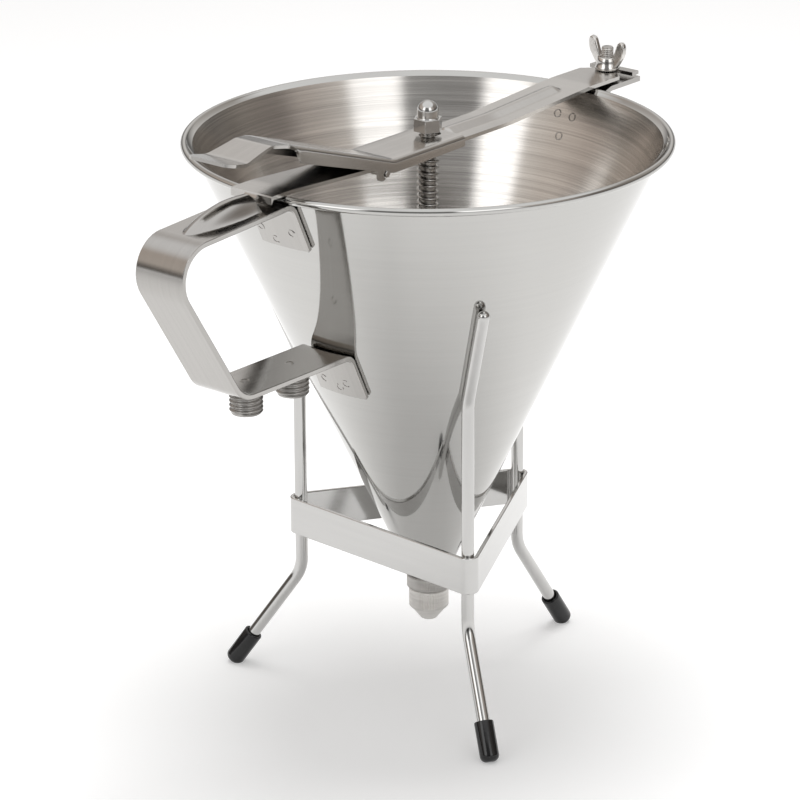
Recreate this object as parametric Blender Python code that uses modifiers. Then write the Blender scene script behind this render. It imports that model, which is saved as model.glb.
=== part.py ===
"""Dispensing funnel: a hand-held cone with a lever valve, standing in a three-legged rod stand.

Lengths are metres and +Z is up. The origin lies on the floor, midway along the whole length.
The handle points to -X and the bridge bar runs along X over the rim. Each piece is laid out
from the funnel's own axis, and one empty carries them all to that axis's place.
"""
import math

import bmesh
import bpy
from mathutils import Matrix, Vector

MM = 0.001

# General clearances and sheet
GAP = 0.3 * MM
OVERRUN = 2.0 * MM
MERGE = 0.1 * MM

# Bowl of the funnel
RIM_RADIUS = 95.0 * MM
RIM_HEIGHT = 228.0 * MM
BEAD_RADIUS = 1.5 * MM
CONE_ANGLE = math.radians(25.0)
CONE_WALL = 0.8 * MM
BEAD_STAND_OFF = 0.75 * MM
BOWL_STEPS = 56
BEAD_POINTS = 5

# Outlet spout, collar and nozzle
SPOUT_RADIUS = 6.3 * MM
SPOUT_BORE = 4.5 * MM
SPOUT_RISE = 1.2 * MM
SPOUT_LENGTH = 15.0 * MM
COLLAR_RADIUS = 8.75 * MM
COLLAR_HEIGHT = 5.4 * MM
NOZZLE_RADIUS = 7.9 * MM
NOZZLE_SKIRT = 8.2 * MM
NOZZLE_TAPER = 5.3 * MM
NOZZLE_TIP_RADIUS = 2.9 * MM
NOZZLE_OUTLET = 1.9 * MM
TURNED_CHAMFER = 0.4 * MM
TURNED_STEPS = 36

# Valve: rod, plug, spring, collar and dome nut
ROD_RADIUS = 3.0 * MM
ROD_STEPS = 20
PLUG_RADIUS = 5.6 * MM
PLUG_NOSE_RADIUS = 2.5 * MM
PLUG_TAPER = 9.0 * MM
PLUG_SHOULDER = 3.0 * MM
SPRING_RADIUS = 3.9 * MM
WIRE_RADIUS = 0.5 * MM
SPRING_LENGTH = 60.0 * MM
SPRING_TURNS = 24
SPRING_END_PITCH = 1.6 * MM
POINTS_PER_TURN = 8
RETAINER_RADIUS = 5.4 * MM
RETAINER_HEIGHT = 4.0 * MM
DOME_NUT_FLATS = 10.0 * MM
DOME_NUT_HEX = 5.0 * MM
DOME_NUT_DOME_RADIUS = 4.1 * MM
DOME_NUT_NECK = 2.8 * MM
DOME_NUT_BORE_DEPTH = 7.6 * MM
DOME_NUT_PLAY = 1.9 * MM

# Bridge bar over the rim
BAR_WIDTH = 20.0 * MM
BAR_SHEET = 1.5 * MM
BAR_SAG = 3.0 * MM
BAR_FLAT_HALF = 37.0 * MM
BAR_RAMP_INSET = 5.0 * MM
BAR_HANDLE_OVERHANG = 6.5 * MM
BAR_REAR_CORNER_OVERHANG = 13.5 * MM
BAR_REAR_OVERHANG = 19.2 * MM
BAR_REAR_HALF_WIDTH = 3.6 * MM
RIB_START = 16.0 * MM
RIB_INSET = 14.0 * MM
RIB_HALF_WIDTH = 4.6 * MM
RIB_SLOPE = 2.2 * MM
RIB_HEIGHT = 1.7 * MM
TONGUE_WIDTH = 6.0 * MM
TONGUE_LENGTH = 9.5 * MM
TONGUE_STEP_LENGTH = 5.5 * MM

# Handle strip and the louver that takes the bar's tongue
HANDLE_WIDTH = 23.0 * MM
HANDLE_SHEET = 2.0 * MM
HANDLE_TOP_DROP = 4.4 * MM
HANDLE_TOP_SLOPE = math.radians(-3.2)
HANDLE_OVERHANG = 65.0 * MM
HANDLE_GRIP_SLOPE = math.radians(57.7)
HANDLE_BOTTOM_DROP = 71.6 * MM
HANDLE_TOP_FLANGE_DROP = 23.5 * MM
HANDLE_BOTTOM_FLANGE_DROP = 90.5 * MM
FLANGE_BEND = 5.0 * MM
TOP_BEND = 13.0 * MM
BOTTOM_BEND = 11.0 * MM
LOUVER_OVERHANG = 8.5 * MM
LOUVER_LENGTH = 33.0 * MM
LOUVER_HALF_WIDTH = 7.2 * MM
LOUVER_HEIGHT = 5.6 * MM
LOUVER_SHEET = 1.4 * MM
LOUVER_TIP_RADIUS = 0.9 * MM
NOZZLE_STUD_RADIUS = 6.4 * MM
NOZZLE_STUD_LENGTH = 9.8 * MM
NOZZLE_STUD_SHARES = (0.3345, 0.769)

# Rear bracket, its stud and the wing nut
BRACKET_WIDTH = 22.0 * MM
BRACKET_SHEET = 2.0 * MM
BRACKET_FLANGE_DROP = 25.0 * MM
BRACKET_RAMP_DROP = 5.6 * MM
BRACKET_SHELF_OVERHANG = 7.0 * MM
BRACKET_OVERHANG = 26.0 * MM
BRACKET_LIP_LENGTH = 4.6 * MM
BRACKET_LIP_SHEET = 1.5 * MM
BRACKET_LIP_GAP = 0.9 * MM
BRACKET_DROP = 0.7 * MM
STUD_OVERHANG = 18.5 * MM
STUD_RADIUS = 2.5 * MM
STUD_HEIGHT = 9.5 * MM
STUD_HEAD_RADIUS = 4.2 * MM
STUD_HEAD_HEIGHT = 1.6 * MM
WING_BASE_RADIUS = 5.0 * MM
WING_BASE_HEIGHT = 5.2 * MM
WING_NECK_RADIUS = 3.9 * MM
WING_SPAN = 8.6 * MM
WING_RISE = 12.4 * MM
WING_ROOT = 3.2 * MM
WING_THICKNESS = 1.9 * MM
WING_TURN = math.radians(-8.0)

# Lever, a pressed channel that rocks on a pin under the bar
LEVER_SHEET = 1.2 * MM
LEVER_SIDE_GAP = 0.35 * MM
LEVER_CORNER = 1.2 * MM
LEVER_REAR_END = 8.5 * MM
LEVER_BEND = 36.0 * MM
LEVER_ARM_INSET = 4.0 * MM
LEVER_ARM_SLOPE = math.radians(19.0)
LEVER_CREST_OVERHANG = 4.5 * MM
LEVER_DIP_OVERHANG = 19.0 * MM
LEVER_TIP_OVERHANG = 29.5 * MM
LEVER_CREST_RISE = 1.2 * MM
LEVER_DIP_DROP = 3.1 * MM
LEVER_TIP_RISE = 2.0 * MM
LEVER_WALL_REAR = 2.5 * MM
LEVER_WALL_FRONT = 4.4 * MM
LEVER_WALL_INSET = 6.5 * MM
LEVER_WALL_CUT = 4.5 * MM
LEVER_NECK_HALF_WIDTH = 8.8 * MM
LEVER_TIP_HALF_WIDTH = 10.8 * MM
LEVER_TIP_CORNER = 4.2 * MM
LEVER_PIN_PLACE = 38.0 * MM
LEVER_PIN_RADIUS = 1.25 * MM
LEVER_PIN_HEAD = 0.7 * MM
LEVER_LOBE_RADIUS = 2.6 * MM
LEVER_SLOT_REAR = 2.4 * MM
LEVER_SPREAD_SHARES = (0.0, 0.45, 0.6, 0.74, 0.88, 1.0)
ROD_HOLE_PLAY = 0.5 * MM

# Stand
LEG_RADIUS = 2.5 * MM
STAND_TURN = math.radians(-3.6)
LEG_COUNT = 3
LEG_LOWER_BEND_Z = 43.5 * MM
LEG_TOP_DROP = 50.0 * MM
LEG_FOOT_RADIUS = 80.0 * MM
LEG_BEND_RADIUS = 16.0 * MM
LEG_RING_Z = 136.5 * MM
CAP_RADIUS = 3.8 * MM
CAP_LENGTH = 16.0 * MM
CAP_ROUND = 2.6 * MM
CAP_FLAT = 0.35 * MM
BAND_HEIGHT = 15.0 * MM
BAND_SHEET = 1.5 * MM
BAND_Z = 67.3 * MM
BAND_CORNER_POINTS = 7

# Worked out from the sizes above
TAN = math.tan(CONE_ANGLE)
COS = math.cos(CONE_ANGLE)
BEAD_CENTRE_R = RIM_RADIUS - BEAD_RADIUS
BEAD_CENTRE_Z = RIM_HEIGHT - BEAD_RADIUS
APEX_Z = BEAD_CENTRE_Z - (BEAD_CENTRE_R - BEAD_RADIUS - BEAD_STAND_OFF) / TAN
CONE_WALL_R = CONE_WALL / COS
CONE_FOOT_Z = APEX_Z + (SPOUT_RADIUS + GAP + CONE_WALL_R) / TAN
SPOUT_TOP = CONE_FOOT_Z + SPOUT_RISE
SPOUT_BOTTOM = SPOUT_TOP - SPOUT_LENGTH
COLLAR_TOP = CONE_FOOT_Z - GAP
COLLAR_BOTTOM = COLLAR_TOP - COLLAR_HEIGHT
NOZZLE_TOP = COLLAR_BOTTOM - GAP
NOZZLE_SHOULDER = NOZZLE_TOP - NOZZLE_SKIRT
NOZZLE_BOTTOM = NOZZLE_SHOULDER - NOZZLE_TAPER

BAR_RAMP_END = RIM_RADIUS - BAR_RAMP_INSET
BAR_HANDLE_END = RIM_RADIUS + BAR_HANDLE_OVERHANG
BAR_REAR_CORNER = RIM_RADIUS + BAR_REAR_CORNER_OVERHANG
BAR_REAR_END = RIM_RADIUS + BAR_REAR_OVERHANG
RIB_END = RIM_RADIUS - RIB_INSET
LEVER_ARM_END = RIM_RADIUS - LEVER_ARM_INSET
LEVER_CREST = RIM_RADIUS + LEVER_CREST_OVERHANG
LEVER_DIP = RIM_RADIUS + LEVER_DIP_OVERHANG
LEVER_TIP = RIM_RADIUS + LEVER_TIP_OVERHANG
LEVER_WALL_END = RIM_RADIUS - LEVER_WALL_INSET
BAR_SEAT_MID_Z = RIM_HEIGHT + GAP + BAR_SHEET / 2
BAR_BOTTOM_Z = BAR_SEAT_MID_Z - BAR_SAG - BAR_SHEET / 2
LEVER_WEB_Z = BAR_SEAT_MID_Z - BAR_SAG + BAR_SHEET / 2 + GAP + LEVER_SHEET / 2
LEVER_WALL_Y = BAR_WIDTH / 2 + LEVER_SIDE_GAP + LEVER_SHEET / 2
LEVER_PIN_Z = BAR_BOTTOM_Z - GAP - LEVER_PIN_RADIUS
DOME_NUT_Z = LEVER_WEB_Z + LEVER_SHEET / 2 + DOME_NUT_PLAY
ROD_TOP = DOME_NUT_Z + DOME_NUT_BORE_DEPTH - GAP
SPRING_TOP = BAR_BOTTOM_Z - GAP
RETAINER_TOP = SPRING_TOP - SPRING_LENGTH - GAP
SEAT_CONTACT_R = SPOUT_BORE - GAP
PLUG_TOP = SPOUT_TOP + (PLUG_RADIUS - SEAT_CONTACT_R) * PLUG_TAPER / (PLUG_RADIUS - PLUG_NOSE_RADIUS)
ROD_BOTTOM = PLUG_TOP + PLUG_SHOULDER + GAP

HANDLE_TOP_REACH = RIM_RADIUS + HANDLE_OVERHANG
HANDLE_TOP_Z = RIM_HEIGHT - HANDLE_TOP_DROP
HANDLE_BOTTOM_Z = RIM_HEIGHT - HANDLE_BOTTOM_DROP
HANDLE_TOP_FLANGE_Z = RIM_HEIGHT - HANDLE_TOP_FLANGE_DROP
HANDLE_BOTTOM_FLANGE_Z = RIM_HEIGHT - HANDLE_BOTTOM_FLANGE_DROP
LOUVER_MOUTH = RIM_RADIUS + LOUVER_OVERHANG
BRACKET_FLANGE_Z = RIM_HEIGHT - BRACKET_FLANGE_DROP
BRACKET_RAMP_Z = RIM_HEIGHT - BRACKET_RAMP_DROP
BRACKET_SHELF_START = RIM_RADIUS + BRACKET_SHELF_OVERHANG
BRACKET_END = RIM_RADIUS + BRACKET_OVERHANG
STUD_PLACE = RIM_RADIUS + STUD_OVERHANG
SHELF_TOP_Z = RIM_HEIGHT - BRACKET_DROP
LEG_TOP_Z = RIM_HEIGHT - LEG_TOP_DROP
LEG_RING_RADIUS = (LEG_RING_Z - APEX_Z) * TAN + (LEG_RADIUS + GAP) / COS


def cone_radius(z):
    """Outer radius of the bowl at a height."""
    return (z - APEX_Z) * TAN


def bar_mid_z(x):
    """Height of the bar's mid-surface, which is set down between the two sides of the rim."""
    ramp = (BAR_RAMP_END - abs(x)) / (BAR_RAMP_END - BAR_FLAT_HALF)
    return BAR_SEAT_MID_Z - BAR_SAG * min(max(ramp, 0.0), 1.0)


# Scene, collections and materials

def clear_scene():
    for obj in list(bpy.data.objects):
        bpy.data.objects.remove(obj, do_unlink=True)


def make_collection(name):
    collection = bpy.data.collections.new(name)
    bpy.context.scene.collection.children.link(collection)
    return collection


def make_material(name, colour, metallic, roughness):
    material = bpy.data.materials.new(name)
    material.use_nodes = True
    shader = material.node_tree.nodes["Principled BSDF"]
    shader.inputs["Base Color"].default_value = (*colour, 1.0)
    shader.inputs["Metallic"].default_value = metallic
    shader.inputs["Roughness"].default_value = roughness
    return material


def add_object(name, mesh, material=None, collection=None):
    obj = bpy.data.objects.new(name, mesh)
    (collection or PARTS).objects.link(obj)
    if material:
        mesh.materials.append(material)
    return obj


def smooth(mesh, angle=math.radians(35.0)):
    mesh.shade_smooth()
    mesh.set_sharp_from_angle(angle=angle)


def mesh_from_bmesh(bm, name):
    mesh = bpy.data.meshes.new(name)
    bm.to_mesh(mesh)
    bm.free()
    return mesh


def evaluated_mesh(obj, name):
    """The object's mesh with its modifiers applied, in world space."""
    bpy.context.view_layer.update()
    depsgraph = bpy.context.evaluated_depsgraph_get()
    mesh = bpy.data.meshes.new_from_object(obj.evaluated_get(depsgraph))
    mesh.name = name
    mesh.transform(obj.matrix_world)
    return mesh


# Shapes

def turned(name, profile, material=None, steps=TURNED_STEPS, closed=True, collection=None):
    """Turns a profile of (radius, height) points about Z. It runs down its outer side first."""
    bm = bmesh.new()
    verts = [bm.verts.new((r, 0.0, z)) for r, z in profile]
    for a, b in zip(verts, verts[1:]):
        bm.edges.new((a, b))
    if closed:
        bm.edges.new((verts[-1], verts[0]))
    obj = add_object(name, mesh_from_bmesh(bm, name), material, collection)
    screw = obj.modifiers.new("Turn", "SCREW")
    screw.steps = steps
    screw.render_steps = steps
    screw.use_merge_vertices = True
    screw.merge_threshold = MERGE
    screw.use_smooth_shade = True
    return obj


def box(name, lo, hi, collection=None, material=None):
    bm = bmesh.new()
    bmesh.ops.create_cube(bm, size=1.0)
    size = Vector(hi) - Vector(lo)
    bmesh.ops.scale(bm, vec=size, verts=bm.verts)
    bmesh.ops.translate(bm, vec=(Vector(hi) + Vector(lo)) / 2, verts=bm.verts)
    return add_object(name, mesh_from_bmesh(bm, name), material, collection or CUTTERS)


def cylinder(name, radius, start, end, steps=ROD_STEPS, material=None, collection=None):
    """A capped cylinder from one point to another."""
    start, end = Vector(start), Vector(end)
    bm = bmesh.new()
    turn = (end - start).to_track_quat("Z", "Y").to_matrix().to_4x4()
    matrix = Matrix.Translation((start + end) / 2) @ turn
    bmesh.ops.create_cone(
        bm, cap_ends=True, segments=steps, radius1=radius, radius2=radius, depth=(end - start).length, matrix=matrix
    )
    return add_object(name, mesh_from_bmesh(bm, name), material, collection or CUTTERS)


def prism(name, outline, low, high, collection=None):
    """An outline of (x, y) points raised from one height to another."""
    bm = bmesh.new()
    face = bm.faces.new([bm.verts.new((x, y, low)) for x, y in outline])
    extruded = bmesh.ops.extrude_face_region(bm, geom=[face])
    moved = [item for item in extruded["geom"] if isinstance(item, bmesh.types.BMVert)]
    bmesh.ops.translate(bm, vec=(0, 0, high - low), verts=moved)
    bmesh.ops.recalc_face_normals(bm, faces=bm.faces)
    return add_object(name, mesh_from_bmesh(bm, name), None, collection or CUTTERS)


def stadium(start, end, radius, points=9):
    """Outline of a slot with round ends along X."""
    outline = []
    for centre, first in ((end, -90.0), (start, 90.0)):
        for t in shares(points - 1):
            angle = math.radians(first + 180.0 * t)
            outline.append((centre + radius * math.cos(angle), radius * math.sin(angle)))
    return outline


def as_cutter(obj):
    obj.hide_render = True
    obj.display_type = "WIRE"
    return obj


def combine(target, other, operation):
    modifier = target.modifiers.new(f"{operation.title()} {other.name}", "BOOLEAN")
    modifier.operation = operation
    modifier.object = as_cutter(other)
    modifier.solver = "EXACT"
    return modifier


def sheet(name, rows, thickness, material):
    """A shell from rows of points that all have the same count, thickened evenly to both sides."""
    bm = bmesh.new()
    grid = [[bm.verts.new(point) for point in row] for row in rows]
    for row, following in zip(grid, grid[1:]):
        for a, b, c, d in zip(row, row[1:], following[1:], following):
            bm.faces.new((a, b, c, d))
    bmesh.ops.recalc_face_normals(bm, faces=bm.faces)
    obj = add_object(name, mesh_from_bmesh(bm, name), material)
    solidify = obj.modifiers.new("Thickness", "SOLIDIFY")
    solidify.thickness = thickness
    solidify.offset = 0.0
    solidify.use_even_offset = True
    return obj


def filleted(points, radii, arc_points=5):
    """A polyline in a plane with its inner corners rounded, each by its own radius."""
    path = [Vector(points[0])]
    for before, corner, after, radius in zip(points, points[1:], points[2:], radii):
        corner = Vector(corner)
        back = (Vector(before) - corner).normalized()
        ahead = (Vector(after) - corner).normalized()
        half = back.angle(ahead) / 2
        centre = corner + (back + ahead).normalized() * (radius / math.sin(half))
        start = corner + back * (radius / math.tan(half)) - centre
        end = corner + ahead * (radius / math.tan(half)) - centre
        sweep = start.angle(end)
        for i in range(arc_points + 1):
            t = i / arc_points
            weights = math.sin((1 - t) * sweep), math.sin(t * sweep)
            path.append(centre + (start * weights[0] + end * weights[1]) / math.sin(sweep))
    path.append(Vector(points[-1]))
    return path


def shares(count):
    return [i / count for i in range(count + 1)]


def smoothstep(value):
    t = min(max(value, 0.0), 1.0)
    return t * t * (3 - 2 * t)


# Funnel

def make_bowl():
    arc_start, arc_end = math.radians(150.0), math.radians(-150.0)
    bead = [
        (
            BEAD_CENTRE_R + BEAD_RADIUS * math.cos(arc_start + (arc_end - arc_start) * t),
            BEAD_CENTRE_Z + BEAD_RADIUS * math.sin(arc_start + (arc_end - arc_start) * t),
        )
        for t in shares(2 * BEAD_POINTS)
    ]
    neck_z = BEAD_CENTRE_Z - BEAD_RADIUS
    profile = bead + [
        (cone_radius(neck_z), neck_z),
        (cone_radius(CONE_FOOT_Z), CONE_FOOT_Z),
        (cone_radius(CONE_FOOT_Z) - CONE_WALL_R, CONE_FOOT_Z),
        (cone_radius(BEAD_CENTRE_Z) - CONE_WALL_R, BEAD_CENTRE_Z),
    ]
    return turned("funnel_bowl", profile, MIRROR_STEEL, steps=BOWL_STEPS)


def make_spout():
    c = TURNED_CHAMFER
    profile = [
        (SPOUT_BORE, SPOUT_TOP),
        (SPOUT_RADIUS - c, SPOUT_TOP),
        (SPOUT_RADIUS, SPOUT_TOP - c),
        (SPOUT_RADIUS, SPOUT_BOTTOM + c),
        (SPOUT_RADIUS - c, SPOUT_BOTTOM),
        (SPOUT_BORE, SPOUT_BOTTOM),
    ]
    return turned("outlet_spout", profile, SATIN_STEEL)


def make_spout_collar():
    c = TURNED_CHAMFER
    bore = SPOUT_RADIUS + GAP
    profile = [
        (bore, COLLAR_TOP),
        (COLLAR_RADIUS - c, COLLAR_TOP),
        (COLLAR_RADIUS, COLLAR_TOP - c),
        (COLLAR_RADIUS, COLLAR_BOTTOM + c),
        (COLLAR_RADIUS - c, COLLAR_BOTTOM),
        (bore, COLLAR_BOTTOM),
    ]
    return turned("spout_collar", profile, SATIN_STEEL, steps=BOWL_STEPS)


def make_nozzle():
    c = TURNED_CHAMFER
    bore = SPOUT_RADIUS + GAP
    floor_z = SPOUT_BOTTOM - GAP
    profile = [
        (bore, NOZZLE_TOP),
        (NOZZLE_RADIUS - c, NOZZLE_TOP),
        (NOZZLE_RADIUS, NOZZLE_TOP - c),
        (NOZZLE_RADIUS, NOZZLE_SHOULDER),
        (NOZZLE_TIP_RADIUS + c, NOZZLE_BOTTOM + c),
        (NOZZLE_TIP_RADIUS, NOZZLE_BOTTOM),
        (NOZZLE_OUTLET, NOZZLE_BOTTOM),
        (SPOUT_BORE, floor_z - c),
        (SPOUT_BORE, floor_z),
        (bore, floor_z),
    ]
    return turned("nozzle", profile, SATIN_STEEL, steps=BOWL_STEPS)


def flange_place(z, y, stand_off):
    """How far out a shell on the bowl's outside lies at a height and a place across its width."""
    r = cone_radius(z) + stand_off / COS
    return math.sqrt(r * r - y * y)


def handle_top_z(out):
    """Height of the mid-surface of the handle's top leg."""
    return HANDLE_TOP_Z + math.tan(HANDLE_TOP_SLOPE) * (out - RIM_RADIUS)


def handle_low_corner():
    """How far out the grip would meet the bottom leg, were the bend sharp."""
    rise = handle_top_z(HANDLE_TOP_REACH) - HANDLE_BOTTOM_Z
    return HANDLE_TOP_REACH - rise / math.tan(HANDLE_GRIP_SLOPE)


def handle_path(y):
    """The strip's mid-line as (out, height) points, from the top flange round to the bottom one."""
    off = GAP + HANDLE_SHEET / 2
    top_z = handle_top_z(cone_radius(HANDLE_TOP_Z))
    elbow_in = HANDLE_TOP_REACH, handle_top_z(HANDLE_TOP_REACH)
    elbow_low = handle_low_corner(), HANDLE_BOTTOM_Z
    points = [
        (flange_place(HANDLE_TOP_FLANGE_Z, y, off), HANDLE_TOP_FLANGE_Z),
        (flange_place(top_z, y, off), top_z),
        elbow_in,
        elbow_low,
        (flange_place(HANDLE_BOTTOM_Z, y, off), HANDLE_BOTTOM_Z),
        (flange_place(HANDLE_BOTTOM_FLANGE_Z, y, off), HANDLE_BOTTOM_FLANGE_Z),
    ]
    return filleted(points, (FLANGE_BEND, TOP_BEND, BOTTOM_BEND, FLANGE_BEND), arc_points=7)


def half_cone(name, mouth, length, half_width, height, tip_radius, axis_z, slope, keep_below):
    """A cone lying along -X, flattened, and cut off at a depth below its axis."""
    bm = bmesh.new()
    bmesh.ops.create_cone(
        bm, cap_ends=True, segments=24, radius1=half_width, radius2=tip_radius, depth=length
    )
    bmesh.ops.rotate(bm, matrix=Matrix.Rotation(math.radians(-90.0), 3, "Y"), verts=bm.verts)
    bmesh.ops.translate(bm, vec=(-length / 2, 0, 0), verts=bm.verts)
    bmesh.ops.scale(bm, vec=(1, 1, height / half_width), verts=bm.verts)
    geometry = bm.verts[:] + bm.edges[:] + bm.faces[:]
    cut = bmesh.ops.bisect_plane(
        bm, geom=geometry, plane_co=(0, 0, -keep_below), plane_no=(0, 0, -1), clear_outer=True
    )
    rim = [item for item in cut["geom_cut"] if isinstance(item, bmesh.types.BMEdge)]
    if rim:
        bmesh.ops.contextual_create(bm, geom=rim)
    bmesh.ops.rotate(bm, matrix=Matrix.Rotation(slope, 3, "Y"), verts=bm.verts)
    bmesh.ops.translate(bm, vec=(-mouth, 0, axis_z), verts=bm.verts)
    bmesh.ops.recalc_face_normals(bm, faces=bm.faces)
    return add_object(name, mesh_from_bmesh(bm, name), None, CUTTERS)


def make_handle():
    across = [HANDLE_WIDTH * (t - 0.5) for t in shares(8)]
    rows = [[(-out, y, z) for out, z in handle_path(y)] for y in across]
    handle = sheet("handle", rows, HANDLE_SHEET, SATIN_STEEL)
    smooth(handle.data)
    skin_z = handle_top_z(LOUVER_MOUTH) + HANDLE_SHEET / 2
    louver = half_cone(
        "louver_skin", LOUVER_MOUTH, LOUVER_LENGTH, LOUVER_HALF_WIDTH, LOUVER_HEIGHT,
        LOUVER_TIP_RADIUS, skin_z, HANDLE_TOP_SLOPE, HANDLE_SHEET / 2,
    )
    hollow = half_cone(
        "louver_hollow", LOUVER_MOUTH - GAP, LOUVER_LENGTH - OVERRUN, LOUVER_HALF_WIDTH - LOUVER_SHEET,
        LOUVER_HEIGHT - LOUVER_SHEET, LOUVER_TIP_RADIUS / 2, skin_z, HANDLE_TOP_SLOPE, LOUVER_HEIGHT,
    )
    combine(handle, louver, "UNION")
    combine(handle, hollow, "DIFFERENCE")
    return handle


def make_nozzle_studs():
    c = 2 * TURNED_CHAMFER
    top = HANDLE_BOTTOM_Z - HANDLE_SHEET / 2 - GAP
    bottom = top - NOZZLE_STUD_LENGTH
    leg_start = flange_place(HANDLE_BOTTOM_Z, 0.0, GAP + HANDLE_SHEET / 2)
    leg_length = handle_low_corner() - leg_start
    studs = []
    for number, share in enumerate(NOZZLE_STUD_SHARES, start=1):
        profile = [
            (0.0, top),
            (NOZZLE_STUD_RADIUS, top),
            (NOZZLE_STUD_RADIUS, bottom + c),
            (NOZZLE_STUD_RADIUS - c, bottom),
            (0.0, bottom),
        ]
        stud = turned(f"nozzle_stud_{number}", profile, SATIN_STEEL, closed=False)
        stud.location.x = -leg_start - share * leg_length
        studs.append(stud)
    return studs


def bracket_path(y):
    off = GAP + BRACKET_SHEET / 2
    shelf_z = SHELF_TOP_Z - BRACKET_SHEET / 2
    points = [
        (flange_place(BRACKET_FLANGE_Z, y, off), BRACKET_FLANGE_Z),
        (flange_place(BRACKET_RAMP_Z, y, off), BRACKET_RAMP_Z),
        (BRACKET_SHELF_START, shelf_z),
        (BRACKET_END, shelf_z),
    ]
    return filleted(points, (3 * BRACKET_SHEET / 2, 2 * BRACKET_SHEET), arc_points=4)


def make_rear_bracket():
    across = [BRACKET_WIDTH * (t - 0.5) for t in shares(8)]
    rows = [[(out, y, z) for out, z in bracket_path(y)] for y in across]
    bracket = sheet("rear_bracket", rows, BRACKET_SHEET, SATIN_STEEL)
    smooth(bracket.data)
    lip_bottom = SHELF_TOP_Z + BRACKET_LIP_GAP
    lip_top = lip_bottom + BRACKET_LIP_SHEET
    lip_start = BRACKET_END - BRACKET_LIP_LENGTH
    sink = BRACKET_SHEET / 4
    lip = box("lip", (lip_start, -BRACKET_WIDTH / 2 + sink, lip_bottom), (BRACKET_END - sink, BRACKET_WIDTH / 2, lip_top))
    fold = box(
        "lip_fold",
        (lip_start + sink, BRACKET_WIDTH / 2 - BRACKET_LIP_SHEET, SHELF_TOP_Z - BRACKET_SHEET / 2),
        (BRACKET_END - 2 * sink, BRACKET_WIDTH / 2 - sink, lip_bottom + BRACKET_LIP_SHEET / 2),
    )
    combine(bracket, lip, "UNION")
    combine(bracket, fold, "UNION")
    hole = cylinder(
        "stud_hole", STUD_RADIUS + GAP,
        (STUD_PLACE, 0, SHELF_TOP_Z - BRACKET_SHEET - OVERRUN), (STUD_PLACE, 0, SHELF_TOP_Z + OVERRUN),
    )
    combine(bracket, hole, "DIFFERENCE")
    return bracket


def make_rear_stud():
    head_top = SHELF_TOP_Z - BRACKET_SHEET - GAP
    top = bar_mid_z(STUD_PLACE) + BAR_SHEET / 2 + STUD_HEIGHT
    c = TURNED_CHAMFER
    profile = [
        (0.0, top),
        (STUD_RADIUS - c, top),
        (STUD_RADIUS, top - c),
        (STUD_RADIUS, head_top),
        (STUD_HEAD_RADIUS, head_top),
        (STUD_HEAD_RADIUS, head_top - STUD_HEAD_HEIGHT),
        (0.0, head_top - STUD_HEAD_HEIGHT),
    ]
    stud = turned("rear_stud", profile, SATIN_STEEL, steps=ROD_STEPS, closed=False)
    stud.location.x = STUD_PLACE
    return stud


def make_wing_nut():
    base_z = bar_mid_z(STUD_PLACE + WING_BASE_RADIUS) + BAR_SHEET / 2 + GAP
    bore = STUD_RADIUS + GAP
    c = TURNED_CHAMFER
    profile = [
        (bore, base_z + WING_BASE_HEIGHT),
        (WING_NECK_RADIUS, base_z + WING_BASE_HEIGHT),
        (WING_NECK_RADIUS + c, base_z + WING_BASE_HEIGHT / 2),
        (WING_BASE_RADIUS, base_z + 2 * c),
        (WING_BASE_RADIUS, base_z),
        (bore, base_z),
    ]
    nut = turned("wing_nut", profile, CAST_STEEL, steps=ROD_STEPS)
    for side in (1, -1):
        outline = [
            (side * WING_ROOT, base_z + c),
            (side * WING_BASE_RADIUS * 0.98, base_z + c),
            (side * WING_SPAN, base_z + WING_RISE * 0.62),
            (side * WING_SPAN, base_z + WING_RISE * 0.9),
            (side * (WING_SPAN - WING_ROOT / 3), base_z + WING_RISE),
            (side * (WING_SPAN - WING_ROOT), base_z + WING_RISE * 0.94),
            (side * WING_ROOT, base_z + WING_BASE_HEIGHT * 0.96),
        ]
        bm = bmesh.new()
        face = bm.faces.new([bm.verts.new((-WING_THICKNESS / 2, y, z)) for y, z in outline])
        extruded = bmesh.ops.extrude_face_region(bm, geom=[face])
        moved = [item for item in extruded["geom"] if isinstance(item, bmesh.types.BMVert)]
        bmesh.ops.translate(bm, vec=(WING_THICKNESS, 0, 0), verts=moved)
        bmesh.ops.recalc_face_normals(bm, faces=bm.faces)
        wing = add_object("wing_near" if side < 0 else "wing_far", mesh_from_bmesh(bm, "wing"), None, CUTTERS)
        wing.parent = nut
        combine(nut, wing, "UNION")
    nut.location.x = STUD_PLACE
    nut.rotation_euler.z = WING_TURN
    return nut


# Bridge bar

def rib_height(x, y):
    """The embossed rib's rise: a flat-topped ridge with a round end at both ends."""
    start, end = RIB_START + RIB_HALF_WIDTH, RIB_END - RIB_HALF_WIDTH
    nearest = min(max(x, start), end)
    distance = math.hypot(x - nearest, y)
    return RIB_HEIGHT * smoothstep((RIB_HALF_WIDTH - distance) / RIB_SLOPE)


def tongue_drop(x):
    """How far the tongue at the handle's end is set down to lie on the handle's top leg."""
    resting_z = handle_top_z(-x) + HANDLE_SHEET / 2 + GAP + BAR_SHEET / 2
    return (bar_mid_z(x) - resting_z) * smoothstep(1 - (BAR_HANDLE_END + x) / TONGUE_STEP_LENGTH)


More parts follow.
